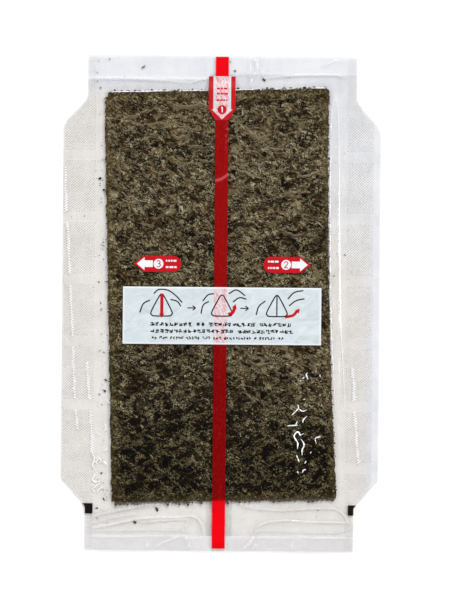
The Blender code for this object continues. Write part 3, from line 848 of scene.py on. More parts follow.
class Finish:
    """A material under construction: short names for the nodes that the finishes use."""

    def __init__(self, name):
        self.material = bpy.data.materials.new(name)
        self.material.use_nodes = True
        self.tree = self.material.node_tree
        self.tree.nodes.clear()
        self.output = self.tree.nodes.new("ShaderNodeOutputMaterial")
        place = self.add("ShaderNodeTexCoord").outputs["Object"]
        inputs = {"Vector": place, "Scale": (1 / MM, 1 / MM, 1 / MM)}
        self.place = self.add("ShaderNodeMapping", inputs).outputs[0]

    def add(self, kind, inputs=None, **settings):
        return add_node(self.tree, kind, inputs, **settings)

    def attribute(self, name):
        return self.add("ShaderNodeAttribute", attribute_name=name).outputs["Fac"]

    def maths(self, operation, a, b=0.0, c=0.0):
        return self.add("ShaderNodeMath", {0: a, 1: b, 2: c}, operation=operation).outputs[0]

    def times(self, a, b, plus=None):
        """The product of two values, with a third added to it if there is one."""
        return self.maths("MULTIPLY", a, b) if plus is None else self.maths("MULTIPLY_ADD", a, b, plus)

    def rest(self, value):
        """What a value lacks to make 1."""
        return self.maths("SUBTRACT", 1.0, value)

    def clamped(self, value):
        return self.add("ShaderNodeClamp", {"Value": value}).outputs[0]

    def rise(self, value, start, end):
        """0 before start, 1 after end, eased between."""
        inputs = {"Value": value, 1: start, 2: end, 3: 0.0, 4: 1.0}
        return self.add("ShaderNodeMapRange", inputs, interpolation_type="SMOOTHSTEP").outputs[0]

    def stretched(self, size, turn=0.0):
        """Coordinates for a pattern whose features have this size in millimetres."""
        size = size if isinstance(size, tuple) else (size, size, size)
        turned = self.add("ShaderNodeMapping", {"Vector": self.place, "Rotation": (0, 0, turn)})
        inputs = {"Vector": turned.outputs[0], "Scale": tuple(1 / s for s in size)}
        return self.add("ShaderNodeMapping", inputs).outputs[0]

    def noise(self, size, detail=2.0, roughness=0.5, distortion=0.0, turn=0.0):
        inputs = {"Vector": self.stretched(size, turn), "Scale": 1.0, "Detail": detail}
        inputs |= {"Roughness": roughness, "Distortion": distortion}
        return self.add("ShaderNodeTexNoise", inputs).outputs["Fac"]

    def cells(self, size):
        """Distance from the nearest of many scattered points."""
        inputs = {"Vector": self.stretched(size), "Scale": 1.0}
        return self.add("ShaderNodeTexVoronoi", inputs, feature="F1").outputs["Distance"]

    def ramp(self, value, *stops):
        made = self.add("ShaderNodeValToRGB", {"Fac": value})
        elements = made.color_ramp.elements
        while len(elements) < len(stops):
            elements.new(0.5)
        for element, (position, shade) in zip(elements, stops):
            element.position = position
            element.color = shade
        return made.outputs["Color"]

    def mixed(self, factor, a, b, blend="MIX"):
        inputs = {"Factor": factor, 6: a, 7: b}
        return self.add("ShaderNodeMix", inputs, data_type="RGBA", blend_type=blend).outputs[2]

    def bump(self, height, distance, strength):
        inputs = {"Height": height, "Distance": distance * MM, "Strength": strength}
        return self.add("ShaderNodeBump", inputs).outputs["Normal"]

    def plain(self, tint, roughness, shine, **others):
        """An opaque surface."""
        inputs = {"Base Color": tint, "Roughness": roughness, "Specular IOR Level": shine}
        return self.add("ShaderNodeBsdfPrincipled", inputs | others).outputs[0]

    def filmy(self, tint, roughness, alpha, gloss):
        """A see-through surface under a clear shine that grows towards grazing angles."""
        inputs = {"Base Color": tint, "Roughness": roughness, "Alpha": self.clamped(alpha)}
        body = self.add("ShaderNodeBsdfPrincipled", inputs).outputs[0]
        facing = self.add("ShaderNodeLayerWeight", {"Blend": 0.5}).outputs["Facing"]
        share = self.times(self.maths("POWER", facing, 5.0), SHINE_MOST - SHINE_LEAST, SHINE_LEAST)
        shine = self.add("ShaderNodeBsdfGlossy", {"Color": (1, 1, 1, 1), "Roughness": gloss}).outputs[0]
        return self.add("ShaderNodeMixShader", {0: share, 1: body, 2: shine}).outputs[0]

    def done(self, surface):
        self.tree.links.new(surface, self.output.inputs["Surface"])
        return self.material


def film_finish(name, clear_alpha, haze_alpha):
    """Clear film. Haze makes it milky, warm or bluish and also carries painted shade, and a painted highlight
    turns it white along a crease.
    """
    f = Finish(name)
    streaks = f.rise(f.noise((0.9, 14, 3), 2.0), 0.35, 0.75)
    mottle = f.noise((5, 9, 4), 3.0, 0.6, 0.6)
    haze = f.times(f.attribute("haze"), f.times(mottle, 0.7, 0.65))
    # Painted highlight: along a crease the film is painted white and made less clear.
    crease = f.attribute("crease")
    alpha = f.times(haze, haze_alpha, f.times(streaks, 0.010, clear_alpha))
    alpha = f.times(crease, 0.85, alpha)
    milky = f.mixed(f.attribute("cool"), (0.66, 0.60, 0.53, 1), (0.55, 0.57, 0.67, 1))
    tint = f.mixed(f.rise(haze, 0.0, 0.3), (0.03, 0.03, 0.03, 1), milky)
    tint = f.mixed(f.rise(crease, 0.0, 0.3), tint, colour(247, 247, 250))
    return f.done(f.filmy(tint, 0.3, alpha, 0.10))


def knurl_finish():
    """The pressed bumps of the seal, painted white as highlight where a crease runs over them."""
    f = Finish("pressed seal")
    white = f.attribute("white")
    alpha = f.times(white, 0.68, 0.26)
    tint = f.mixed(f.rise(white, 0.0, 0.5), colour(208, 204, 197), colour(252, 252, 254))
    return f.done(f.filmy(tint, 0.35, alpha, 0.15))


def wrinkle_highlight_finish():
    """Sharp wrinkles of the film, painted white as highlights over the shine they catch."""
    f = Finish("film wrinkles")
    return f.done(f.filmy(colour(250, 250, 252), 0.3, f.attribute("white"), 0.15))


def nori_finish():
    """Pressed seaweed: torn olive-brown leaves with hollows painted dark as shade, fine grain and pale
    threads.
    """
    f = Finish("pressed nori")
    tone = f.attribute("tone")
    light = f.attribute("light")
    clumps = f.noise((4.2, 2.1, 4), 6.0, 0.66, 1.8, math.radians(30))
    grain = f.noise((0.9, 0.6, 2), 4.0, 0.75, 1.2, math.radians(-20))
    mix = f.times(grain, 1.05, f.times(clumps, 2.4, -1.75))
    mix = f.maths("ADD", mix, f.times(light, 0.50, f.maths("ADD", tone, -0.60)))
    base = f.ramp(
        f.clamped(mix),
        (0.0, colour(7, 4, 1)),
        (0.30, colour(44, 32, 15)),
        (0.50, colour(71, 56, 36)),
        (0.72, colour(99, 82, 57)),
        (1.0, colour(165, 146, 110)),
    )
    # Flat khaki leaves with a lighter border.
    leaf = f.noise((6.5, 4.2, 6), 2.0, 0.5, 1.3, math.radians(20))
    inner = f.times(f.rise(leaf, 0.57, 0.59), f.rise(light, 0.5, 0.95))
    border = f.times(inner, f.rest(f.rise(leaf, 0.59, 0.615)))
    base = f.mixed(f.times(inner, 0.60), base, colour(110, 97, 73))
    base = f.mixed(f.times(border, 0.55), base, colour(158, 149, 116))
    # Pale curly threads and dark cracks.
    for size, turn, least, most, half, strength, shade in (
        ((3.8, 2.0, 4), 0.5, 0.46, 0.54, 0.040, 0.75, colour(160, 151, 118)),
        ((2.4, 3.2, 4), -0.6, 0.52, 0.59, 0.030, 0.90, colour(196, 188, 156)),
        ((5.2, 2.8, 4), 0.2, 0.42, 0.52, 0.050, 0.92, colour(14, 10, 4)),
    ):
        away = f.maths("ABSOLUTE", f.maths("SUBTRACT", f.noise(size, 3.0, 0.55, 1.8, turn), 0.5))
        line = f.rest(f.rise(away, 0.35 * half, half))
        where = f.rise(f.noise((4.0 + size[0], 3.2, 4), 2.0, 0.6, 0.8, -turn), least, most)
        base = f.mixed(f.times(f.times(line, where), strength), base, shade)
    # Small pale specks, painted as glints of the seaweed's sheen.
    speck_glints = f.rest(f.rise(f.cells(1.15), 0.08, 0.20))
    speck_glints = f.times(speck_glints, f.rise(f.noise(1.9, 2.0), 0.57, 0.66))
    base = f.mixed(f.times(speck_glints, 0.7), base, colour(186, 178, 150))
    # The edges are thinner, greener and more granular.
    fringe = f.times(f.rise(f.attribute("inside"), 5.0, 0.5), f.rise(grain, 0.48, 0.56))
    base = f.mixed(f.times(fringe, 0.50), base, colour(124, 112, 62))
    # What is dark is also warmer.
    warmth = f.ramp(light, (0.0, (0.44, 0.37, 0.24, 1)), (0.9, (1, 0.98, 0.95, 1)))
    base = f.mixed(1.0, base, warmth, "MULTIPLY")
    return f.done(f.plain(base, 0.9, 0.02, Normal=f.bump(mix, 0.30, 0.8)))


def strand_finish():
    """Loose shreds of seaweed, from olive to pale straw, as dark as the sheet round them."""
    f = Finish("nori shreds")
    base = f.ramp(
        f.attribute("shade"),
        (0.0, colour(20, 15, 7)),
        (0.45, colour(84, 70, 47)),
        (0.80, colour(132, 117, 88)),
        (1.0, colour(214, 208, 186)),
    )
    grain = f.noise(0.5, 3.0, 0.6)
    base = f.mixed(f.times(grain, 0.5), base, colour(44, 37, 20))
    light = f.ramp(f.attribute("light"), (0.0, (0, 0, 0, 1)), (1.0, (1, 1, 1, 1)))
    base = f.mixed(1.0, base, light, "MULTIPLY")
    return f.done(f.plain(base, 0.7, 0.1))


def tape_finish():
    """Clear red tape, brighter where there is no nori behind it and darkest over the nori's lower end."""
    f = Finish("red tape")
    behind = f.attribute("nori")
    streaks = f.rise(f.noise((0.35, 9, 3), 3.0, 0.6), 0.3, 0.75)
    grain = f.rise(f.noise((1.0, 1.4, 2), 4.0, 0.65, 1.0), 0.48, 0.72)
    upper = f.mixed(streaks, colour(138, 6, 7), colour(152, 10, 11))
    lower = f.mixed(streaks, colour(116, 2, 3), colour(130, 5, 6))
    dark = f.mixed(f.attribute("low"), upper, lower)
    dark = f.mixed(f.times(grain, 0.45), dark, colour(182, 34, 34))
    bright = f.mixed(streaks, colour(226, 0, 14), colour(234, 3, 20))
    # A painted glint turns the tape pale pink.
    base = f.mixed(f.attribute("glint"), f.mixed(behind, bright, dark), colour(214, 96, 100))
    body = f.plain(base, 0.4, 0.08)
    clear = f.add("ShaderNodeBsdfTransparent", {"Color": (0.85, 0.02, 0.03, 1)}).outputs[0]
    share = f.times(behind, -0.10, 0.95)
    return f.done(f.add("ShaderNodeMixShader", {0: share, 1: clear, 2: body}).outputs[0])


def ink_finish(name, base, other):
    """Printed ink, a little uneven in density."""
    f = Finish(name)
    density = f.noise((1.6, 1.6, 2), 3.0, 0.6)
    return f.done(f.plain(f.mixed(f.rise(density, 0.35, 0.7), base, other), 0.5, 0.15))


def panel_finish():
    """The pale panel, with the tape showing through and the soft grey shade of wrinkles painted into its
    colour.
    """
    f = Finish("panel print")
    wrinkles = f.noise((9, 4.5, 6), 4.0, 0.55, 1.4, math.radians(-28))
    # Painted shade: the wrinkle pattern darkens the panel towards grey, and it also bumps it.
    tint = f.ramp(
        wrinkles,
        (0.25, colour(184, 193, 198)),
        (0.42, colour(198, 207, 212)),
        (0.60, colour(207, 216, 220)),
        (0.78, colour(218, 225, 229)),
    )
    streaks = f.rise(f.noise((0.5, 2.8, 2), 3.0, 0.6, 0.5, math.radians(-24)), 0.42, 0.62)
    pink = f.mixed(streaks, colour(226, 206, 210), colour(208, 134, 140))
    tint = f.mixed(f.attribute("tape"), tint, pink)
    tint = f.mixed(f.attribute("rim"), tint, colour(226, 231, 235))
    return f.done(f.plain(tint, 0.45, 0.2, Normal=f.bump(wrinkles, 0.5, 0.5)))


def floor_finish():
    f = Finish("floor")
    return f.done(f.plain((0.9, 0.9, 0.9, 1), 0.8, 0.0))


# The pieces.


def haze_of(x, y):
    """How milky the two films are together, and how bluish, from 0 to about 1."""
    in_seal = smooth(abs(x), SEAL_INNER_X - 0.2, SEAL_INNER_X + 0.2)
    strip = smooth(from_strip(y), STRIP_HEIGHT / 2 + 0.3, STRIP_HEIGHT / 2)
    upper_right = smooth(x + 0.6 * y, 55, 110)
    haze = 1 + 0.1 * smooth(y, 95, 103) + 0.25 * in_seal * strip
    haze = haze - 0.18 * upper_right + 0.08 * smooth(-y, 40, 100)
    # The plain strip right of the knurl is clearer, and all of it is mottled.
    haze = haze * (1 - 0.35 * smooth(x, KNURL_RIGHT_END - 1.5, KNURL_RIGHT_END + 0.5))
    haze = haze * (1 + 0.22 * noise(x, y, (20, 9), 43, 3))
    cool = np.maximum(smooth(x, KNURL_RIGHT_END - 6, KNURL_RIGHT_END), 0.9 * upper_right)
    cool = np.maximum(cool, smooth(y, 92, 104))
    cool = np.maximum(cool, 0.45 * smooth(-y, 103, 109))
    return haze, cool


def add_inner_film(name, side, top, finish):
    """One half of the inner film. The left half laps over the right one."""
    y = steps((INNER_BOTTOM, 1.6), (top, 0))
    edge = side_of_sleeve(y, side)
    lap = np.full(y.shape, -side * LAP)
    left, right = (edge, lap) if side < 0 else (lap, edge)
    x, y = between(y, left, right, 59)
    lifted = smooth(x, -LAP - 1.6, -LAP - 0.4) if side < 0 else 0
    level = INNER_LEVEL + LAP_RISE * lifted + 0.03 * noise(x, y, (21, 33), 41, 2)
    haze, cool = haze_of(x, y)
    return add_mesh(name, *sheet(x, y, level), finish, haze=haze, cool=cool)


def outer_film_grid():
    """A grid of x and y over the whole sleeve, finest where the film is creased."""
    end = SLEEVE_LENGTH / 2
    y = steps((-end, 0.3), (-113.6, 0.5), (-82, 0.6), (-30, 0.85), (97, 0.5), (113.2, 0.25), (end, 0))
    inside = steps((-SEAL_INNER_X, 0.5), (-50, 1.2), (46, 0.4), (SEAL_INNER_X, 0))
    band = np.linspace(0, 1, 22)
    left = side_of_sleeve(y, -1)[:, None]
    right = side_of_sleeve(y, 1)[:, None]
    left_band = left + (-SEAL_INNER_X - left) * band[:-1]
    right_band = SEAL_INNER_X + (right - SEAL_INNER_X) * band[1:]
    x = np.hstack([left_band, np.broadcast_to(inside, (len(y), len(inside))), right_band])
    return x, np.broadcast_to(y[:, None], x.shape)


def add_outer_film(finish):
    """The printed film. Its own haze is mostly where the inner film doesn't lie under it; painted shadow,
    painted shade and painted highlights of creases are added to it.
    """
    x, y = outer_film_grid()
    level = film_level(x, y)
    crease = np.zeros(x.shape)
    shaded = np.zeros(x.shape)
    for fold in TAB_CREASES:
        closeness = near(x, y, fold.path, FOLD_WIDTH * fold.width)
        level = level + fold.rise * closeness
        # Painted highlight: the crest of each tab crease is painted white.
        crease = np.maximum(crease, FOLD_HIGHLIGHT_WHITE * fold.white * closeness**3)
        # Painted shade: the lower side of each tab crease is made greyer by haze.
        painted_shade_side = [(px + 0.4, py - 1.5 * fold.width) for px, py in fold.path]
        shaded = np.maximum(shaded, fold.white * near(x, y, painted_shade_side, 2.6 * fold.width))
    channel = in_channel(x, y)
    level = level + CHANNEL_RISE * channel
    u, v = on_nori(x, y)
    inner_top = np.where(x < 0, INNER_LEFT_TOP, INNER_RIGHT_TOP)
    past_inner = smooth(y, inner_top - 0.5, INNER_RIGHT_TOP)
    past_inner = np.maximum(past_inner, smooth(-y, -INNER_BOTTOM - 0.4, -INNER_BOTTOM + 0.4))
    # Painted shadow: a band of grey haze just below the nori's lower edge.
    below = -v - NORI_LENGTH / 2
    painted_nori_shadow = smooth(below, -0.5, 0.4) * smooth(below, 3.6, 1.0) * (abs(u) < 53)
    haze, cool = haze_of(x, y)
    # The painted shadow under the nori and the painted shade of the tab creases go into the haze here.
    haze = past_inner * haze * (1 + 0.7 * (y < 0)) + 0.3 * channel + 0.35 * painted_nori_shadow + 0.25 * shaded
    # Painted shade of crumples: streaky grey haze over the tabs.
    haze = haze + 0.20 * smooth(abs(y), 96, 100) * np.clip(noise(x, y, (26, 5), 53, 3), -0.3, 1)
    haze = haze * np.where((abs(u) < NORI_WIDTH / 2) & (abs(v) < NORI_LENGTH / 2 - 0.5), 0, 1)
    values = {"crease": np.clip(crease, 0, 1), "haze": np.clip(haze, 0, 2), "cool": cool}
    return add_mesh("outer_film_sheet", *sheet(x, y, level), finish, **values)


def add_wrinkle_highlights(finish):
    """The sharp wrinkles, raised and painted white as highlights: glints, worms, the crests of the tabs'
    creases, the channel and the top edge.
    """
    lines = [(fold.path, WRINKLE_WIDTH * fold.width, 0.7 * fold.rise, fold.white) for fold in GLINTS + WORMS]
    lines += [(fold.path, 0.4 * fold.width, 0.5 * fold.rise, 0.6 * fold.white) for fold in TAB_CREASES]
    lines.append((np.column_stack([CHANNEL_LEFT, CHANNEL_Y]), 0.35, 0.1, 0.5))
    lines.append((np.column_stack([CHANNEL_RIGHT, CHANNEL_Y]), 0.4, 0.06, 0.7))
    for start, end, white in TOP_EDGE_HIGHLIGHTS:
        u = np.linspace(start, end, 9)
        v = NORI_LENGTH / 2 + 0.6 + 0.25 * noise(u, 0 * u, 5, 54)
        lines.append((np.column_stack(from_nori(u, v)), 0.5, 0.10, white))
    parts = []
    whites = []
    for path, width, height, white in lines:
        line = curved(path, 0.3)
        x, y = line.T
        base = film_level(x, y) + 0.012 + CHANNEL_RISE * in_channel(x, y)
        parts.append(ridge(line, width, height, base, WRINKLES_SEED + len(parts)))
        whites += [white] * len(parts[-1][0])
    return add_mesh("film_wrinkles", *joined(parts), finish, flat=True, white=whites)


def knurl_bump():
    """One pressed bump: a low lozenge with a ridge, a unit across and centred on the origin."""
    ring = [(-0.5, 0, 0), (-0.22, -0.5, 0), (0.22, -0.5, 0), (0.5, 0, 0), (0.22, 0.5, 0), (-0.22, 0.5, 0)]
    points = ring + [(-0.2, 0, 1), (0.2, 0, 1)]
    faces = [(0, 1, 6), (1, 2, 7, 6), (2, 3, 7), (3, 4, 7), (4, 5, 6, 7), (5, 0, 6)]
    return add_shape("knurl_bump", points, faces)


def add_knurl(finish):
    """The pressed bumps of the side seals. Every other row is shifted by half a bump."""
    rows = np.arange(-113.8, 114, KNURL_ALONG / 2)
    columns = np.arange(-74, 74.5, KNURL_ACROSS)
    x = columns[None, :] + (np.arange(len(rows)) % 2)[:, None] * KNURL_ACROSS / 2
    y = np.broadcast_to(rows[:, None], x.shape)
    left = side_of_sleeve(y, -1) + KNURL_MARGIN
    right = np.minimum(side_of_sleeve(y, 1) - KNURL_MARGIN, KNURL_RIGHT_END)
    kept = (x > left) & (x < -SEAL_INNER_X - 0.5) | (x < right) & (x > SEAL_INNER_X - 0.3)
    kept &= from_strip(y) > STRIP_HEIGHT / 2 + 0.2
    x = x[kept]
    y = y[kept]
    # Painted highlight: bumps near a dotted crease are painted white and made a little larger, and every bump
    # gets a little random white.
    white = np.max([near(x, y, path, DOTTED_WIDTH) for path in DOTTED_CREASES], axis=0)
    white = smooth(white, 0.2, 0.6)
    random = np.random.default_rng(KNURL_SEED)
    points = np.stack([x, y, film_level(x, y) + 0.01], axis=1)
    sizes = np.array(KNURL_BUMP) * random.uniform(0.85, 1.1, (len(x), 1))
    sizes *= 1 + 0.25 * white[:, None]
    white += random.uniform(0, 0.12, len(x))
    return place_shapes("seal_knurl", knurl_bump(), points, KNURL_SLANT, sizes, finish, white=white)


def nori_outline(across, along):
    """A point of the nori's own frame, for across and along from 0 to 1, with its ragged outline."""
    u = (across - 0.5) * NORI_WIDTH
    v = (along - 0.5) * NORI_LENGTH
    u = u - NORI_RIGHT_BOW * across**8 * np.sin(math.pi * along)
    to_end = abs(2 * along - 1) ** 60
    v = v + to_end * NORI_FRAY * noise(u, np.round(along) * 90.0, 2.6, 71, 3)
    to_side = abs(2 * across - 1) ** 60
    u = u + to_side * 0.5 * NORI_FRAY * noise(np.round(across) * 90.0, v, 2.4, 72, 3)
    chip = NORI_CORNER * np.clip(1 - across * 30, 0, 1) * np.clip(1 - (1 - along) * 40, 0, 1)
    return u + 0.4 * chip, v - chip


def nori_light(u, v):
    """How light the sheet is: darker towards its lower end, less so on the right."""
    light = np.interp(v, *zip(*NORI_LIGHT))
    light = light * (1 + 0.35 * smooth(u, -5, 20) * smooth(v, -12, -24) * smooth(v, -66, -52))
    right_of_fold = smooth(u, 24 - 0.25 * (v + 46), 30 - 0.25 * (v + 46))
    light = light * (1 + 0.25 * right_of_fold * smooth(v, -42, -50))
    blotch = smooth(((u - 16) / 15) ** 2 + ((v + 79) / 10) ** 2 + 0.5 * noise(u, v, 5, 82, 2), 1.2, 0.6)
    light = light * (1 - 0.45 * blotch)
    return light * (1 - 0.22 * smooth(noise(u, v, (17, 22), 81, 2), 0.05, 0.6))


def add_nori(finish):
    """The pressed sheet, as a closed shell with its torn layers raised and sunk."""
    across, along = np.meshgrid(np.linspace(0, 1, NORI_COLUMNS), np.linspace(0, 1, NORI_ROWS))
    u, v = nori_outline(across, along)
    leaves, folds, hollows = nori_pattern(u, v)
    fine = noise(u, v, 1.7, 27, 2)
    low = nori_lie(u, v)
    high = low + NORI_THICKNESS + 0.05 * leaves + 0.09 * folds - 0.12 * hollows + 0.03 * fine
    edge = np.maximum(abs(2 * across - 1), abs(2 * along - 1))
    thin = smooth(edge, 0.99, 1.0)
    high = high * (1 - thin) + (low + 0.12) * thin
    x, y = from_nori(u, v)
    points, faces = shell(x, y, low - 0.04 * folds + 0.03 * fine, high)
    # Painted shade and highlight: hollows are painted dark and raised folds pale; leaves, the paler areas and
    # fine noise add tone.
    tone = 0.50 + 0.12 * leaves + 0.22 * folds - 0.50 * hollows + 0.04 * fine
    for centre_x, centre_y, half_width, half_height in LEAVES:
        away = ((x - centre_x) / half_width) ** 2 + ((y - centre_y) / half_height) ** 2
        tone = tone + 0.20 * smooth(away + 0.6 * noise(x, y, 4, 73, 2), 1.1, 0.8)
    inside = np.minimum(NORI_WIDTH / 2 - abs(u), NORI_LENGTH / 2 - abs(v))
    values = both_sides(tone=tone, light=nori_light(u, v), inside=inside)
    return add_mesh("nori_sheet_pressed", points, faces, finish, **values)


def add_strands(finish):
    """The longest strands and folds of the nori and its torn leaves, laid as listed."""
    strands = list(STRANDS)
    for leaf in TORN_LEAVES:
        # Each leaf gets a painted highlight rim on its upper side and a painted shadow rim under its lower
        # side.
        for shift, shade in ((0.36, 0.90), (-0.42, 0.0)):
            edge = [(px, py + shift * leaf.width) for px, py in leaf.path]
            strands.append(Strand(LEAF_LIT_AND_SHADED_RIM, leaf.height + 0.03, shade, edge))
        strands.append(leaf)
    parts = []
    shades = []
    lights = []
    for strand in strands:
        line = curved(strand.path, 0.35)
        wander = [noise(*line.T, 2.6, 74, 2), noise(*line.T, 2.2, 75, 2)]
        line = line + 0.55 * np.column_stack(wander)
        u, v = on_nori(*line.T)
        base = nori_lie(u, v) + NORI_THICKNESS + 0.02
        parts.append(ridge(line, strand.width, strand.height, base, STRANDS_SEED + len(parts), 1.1))
        shades += [strand.shade] * len(parts[-1][0])
        lights += list(np.repeat(nori_light(u, v), 3))
    return add_mesh("nori_strands", *joined(parts), finish, flat=True, shade=shades, light=lights)


def add_fringe(finish):
    """Torn bits along the edges of the nori, which make its outline ragged."""
    random = np.random.default_rng(FRINGE_SEED)
    half_width = NORI_WIDTH / 2
    half_length = NORI_LENGTH / 2
    places = []
    for _ in range(FRINGE_COUNT):
        along = random.uniform(-1, 1)
        out = random.normal(-0.25, 0.42)
        side = random.choice([-1, 1])
        if random.random() < FRINGE_AT_SIDES:
            bow = NORI_RIGHT_BOW * math.cos(math.pi / 2 * along) if side > 0 else 0
            u = side * (half_width + out - 0.3) - bow
            places.append((u, along * (half_length - 1.5), random.uniform(0.4, 1.2)))
        else:
            v = side * (half_length + random.normal(-0.15, 0.5))
            places.append((along * (half_width - 1), v, random.uniform(0.5, 2.4)))
    u, v, length = np.array(places).T
    x, y = from_nori(u, v)
    count = len(x)
    points = np.stack([x, y, nori_lie(u, v) + 0.16 + random.uniform(0, 0.1, count)], axis=1)
    angles = random.uniform(-math.pi, math.pi, count)
    sizes = np.stack([length, length * random.uniform(0.6, 1.4, count), np.full(count, 0.8)], axis=1)
    values = {"shade": random.uniform(0.15, 0.80, count), "light": nori_light(u, v) * 0.4 + 0.6}
    shape = crumb_shape("torn_bit", TORN_BIT_SEED)
    return place_shapes("nori_fringe", shape, points, angles, sizes, finish, **values)


def blade(kind):
    """A closed, three-sided shred for a tree to copy."""
    line = curved(kind.path, 0.7)
    swell = np.sin(math.pi * np.linspace(0, 1, len(line)))
    side = sideways(line) * ((kind.taper + (1 - kind.taper) * swell)[:, None] * kind.width / 2)
    left = np.column_stack([line - side, 0 * swell])
    right = np.column_stack([line + side, 0 * swell])
    points, faces = three_sided(left, right, np.column_stack([line, kind.height * (0.4 + 0.6 * swell)]))
    return add_shape(kind.name, points * MM, faces)


def add_shreds(nori, finish):
    """Curled threads, flat shreds and short bits that lie on the nori, each kind scattered by a tree."""
    meshes = []
    for n, kind in enumerate(SHREDS):
        values = {"Shape": blade(kind), "Density": kind.density, "Smallest": kind.smallest}
        values |= {"Largest": kind.largest, "Tilt": kind.tilt, "Finish": finish}
        values["Seed"] = SCATTER_SEED + SCATTER_SEED_STEP * n
        meshes.append(grown(nori, SCATTER, values))
    return as_piece("nori_shreds", meshes)


def crumb_shape(name, seed):
    """A torn flake, a unit long: a ring of eight points round a thick middle."""
    random = np.random.default_rng(seed)
    points = [(0, 0, 0.16), (0, 0, 0)]
    for n in range(8):
        turn = math.tau * n / 8
        reach = random.uniform(0.7, 1.15)
        height = random.uniform(0.03, 0.10)
        points.append((0.5 * reach * math.cos(turn), 0.28 * reach * math.sin(turn), height))
    faces = []
    for n in range(8):
        a = 2 + n
        b = 2 + (n + 1) % 8
        faces += [(0, a, b), (1, b, a)]
    return add_shape(name, points, faces)


def add_crumbs(finish):
    """Crumbs that have dropped off the nori, most of them along its left side, as three pieces."""
    random = np.random.default_rng(CRUMBS_SEED)
    crumbs = list(LARGE_CRUMBS)
    for _ in range(LEFT_CRUMBS):
        y = random.uniform(-104, 112)
        x = -54.2 - random.exponential(1.5)
        x -= (y - NORI_CENTRE[1]) * NORI_SIN * 0.9
        crumbs.append((max(x, -59.5), y, random.uniform(0.3, 0.85)))
    for _ in range(RIGHT_CRUMBS):
        crumbs.append((random.uniform(52.5, 61), random.uniform(-90, 95), random.uniform(0.25, 0.5)))
    for _ in range(END_CRUMBS):
        side = random.choice([-1, 1])
        y = random.uniform(100.5, 112) if side > 0 else random.uniform(-104, -93.5)
        crumbs.append((random.uniform(-57, 57), y, random.uniform(0.25, 0.7)))
    crumbs = np.array(crumbs)
    u, v = on_nori(crumbs[:, 0], crumbs[:, 1])
    outside = (abs(u) > NORI_WIDTH / 2 + 0.3) | (abs(v) > NORI_LENGTH / 2 + 0.3)
    outside[:len(LARGE_CRUMBS)] = True
    x, y, length = crumbs[outside].T
    count = len(x)
    z = INNER_LEVEL + 0.12 + 0.15 * (film_level(x, y) - INNER_LEVEL - 0.3).clip(0, 1)
    points = np.stack([x, y, z], axis=1)
    angles = random.uniform(-math.pi, math.pi, count)
    sizes = np.stack([length, length * random.uniform(0.7, 1.5, count), np.ones(count)], axis=1)
    shade = random.uniform(0.0, 0.4, count)
    pieces = []
    for n in range(3):
        own = slice(n, None, 3)
        shape = crumb_shape(f"crumb_{n}", CRUMB_SHAPE_SEED + n)
        values = {"shade": shade[own], "light": np.ones(len(shade[own]))}
        name = f"nori_crumbs_{n + 1}"
        pieces.append(place_shapes(name, shape, points[own], angles[own], sizes[own], finish, **values))
    return pieces


def add_tape(finish):
    """The tear tape, which tells its finish where the nori is behind it and where a glint is painted on it.
    """
    y = steps((TAPE_BOTTOM, 0.7), (TAPE_TOP, 0))
    left = np.full(y.shape, TAPE_X - TAPE_WIDTH / 2)
    x, y = between(y, left, left + TAPE_WIDTH, 12)
    base = film_level(x, y) + TAPE_GAP
    points, faces = shell(x, y, base, base + TAPE_THICKNESS)
    _, v = on_nori(x, y)
    behind = smooth(abs(v) - NORI_LENGTH / 2, 0.4, -0.4)
    # Painted glints: a pale pink streak and speckles near the top of the tape.
    glint = 0.8 * near(x, y, TAPE_GLINT, 0.9)
    speckle = smooth(noise(x, y, (0.9, 1.3), 101, 2), 0.1, 0.6)
    glint = np.maximum(glint, 0.5 * speckle * smooth(x, 0.5, 2.5) * smooth(y, 66, 78) * smooth(y, 86, 84))
    values = both_sides(nori=behind, glint=glint, low=smooth(-v, -20, 50))
    return add_mesh("tear_tape_strip", points, faces, finish, flat=True, **values)


def fine_outline(stations, halves):
    """The same outline with stations no more than a step apart."""
    made = []
    for a, b, c, d in zip(stations, stations[1:], halves, halves[1:]):
        count = max(1, math.ceil(abs(b - a) / OUTLINE_STEP))
        share = np.arange(count) / count
        made.append(np.stack([a + (b - a) * share, c + (d - c) * share]))
    made.append([[stations[-1]], [halves[-1]]])
    return np.hstack(made)


def filled(stations, halves, middle, columns, upright):
    """A grid that fills an outline, given by its half width at each station."""
    order = np.argsort(stations)
    half = halves[order]
    return between(stations[order], middle - half, middle + half, columns, upright)


def arrow(tip, way, middle, shaft, head, head_length, length, columns, upright):
    """A grid that fills an arrow along one axis, from its tip back to its end."""
    stations = tip - way * np.array([0, head_length, head_length + 0.03, length])
    stations, halves = fine_outline(stations, [0.05, head / 2, shaft / 2, shaft / 2])
    return filled(stations, halves, middle, columns, upright)


def side_tag_field(tip_x):
    """A grid that fills a side tag, which has a point at one end and is round at the other."""
    side = math.copysign(1, tip_x)
    half = SIDE_TAG_HEIGHT / 2
    body_end = SIDE_TAG_LENGTH - half
    corners = tip_x - side * np.array([0, SIDE_TAG_POINT, body_end])
    stations, halves = fine_outline(corners, [0.05, half, half])
    back = np.linspace(0, half, 12)[1:]
    stations = np.append(stations, tip_x - side * (body_end + back))
    halves = np.append(halves, np.sqrt(np.maximum(half**2 - back**2, 0.01)))
    return filled(stations, halves, SIDE_TAG_Y, 10, upright=True)


def digit(number, centre, height=2.9, width=0.42):
    """The lines of a digit, as grids."""
    scale = height / DIGIT_HEIGHT
    paths = [[(centre[0] + scale * x, centre[1] + scale * y) for x, y in path] for path in DIGITS[number]]
    return [stroke(path, width) for path in paths]


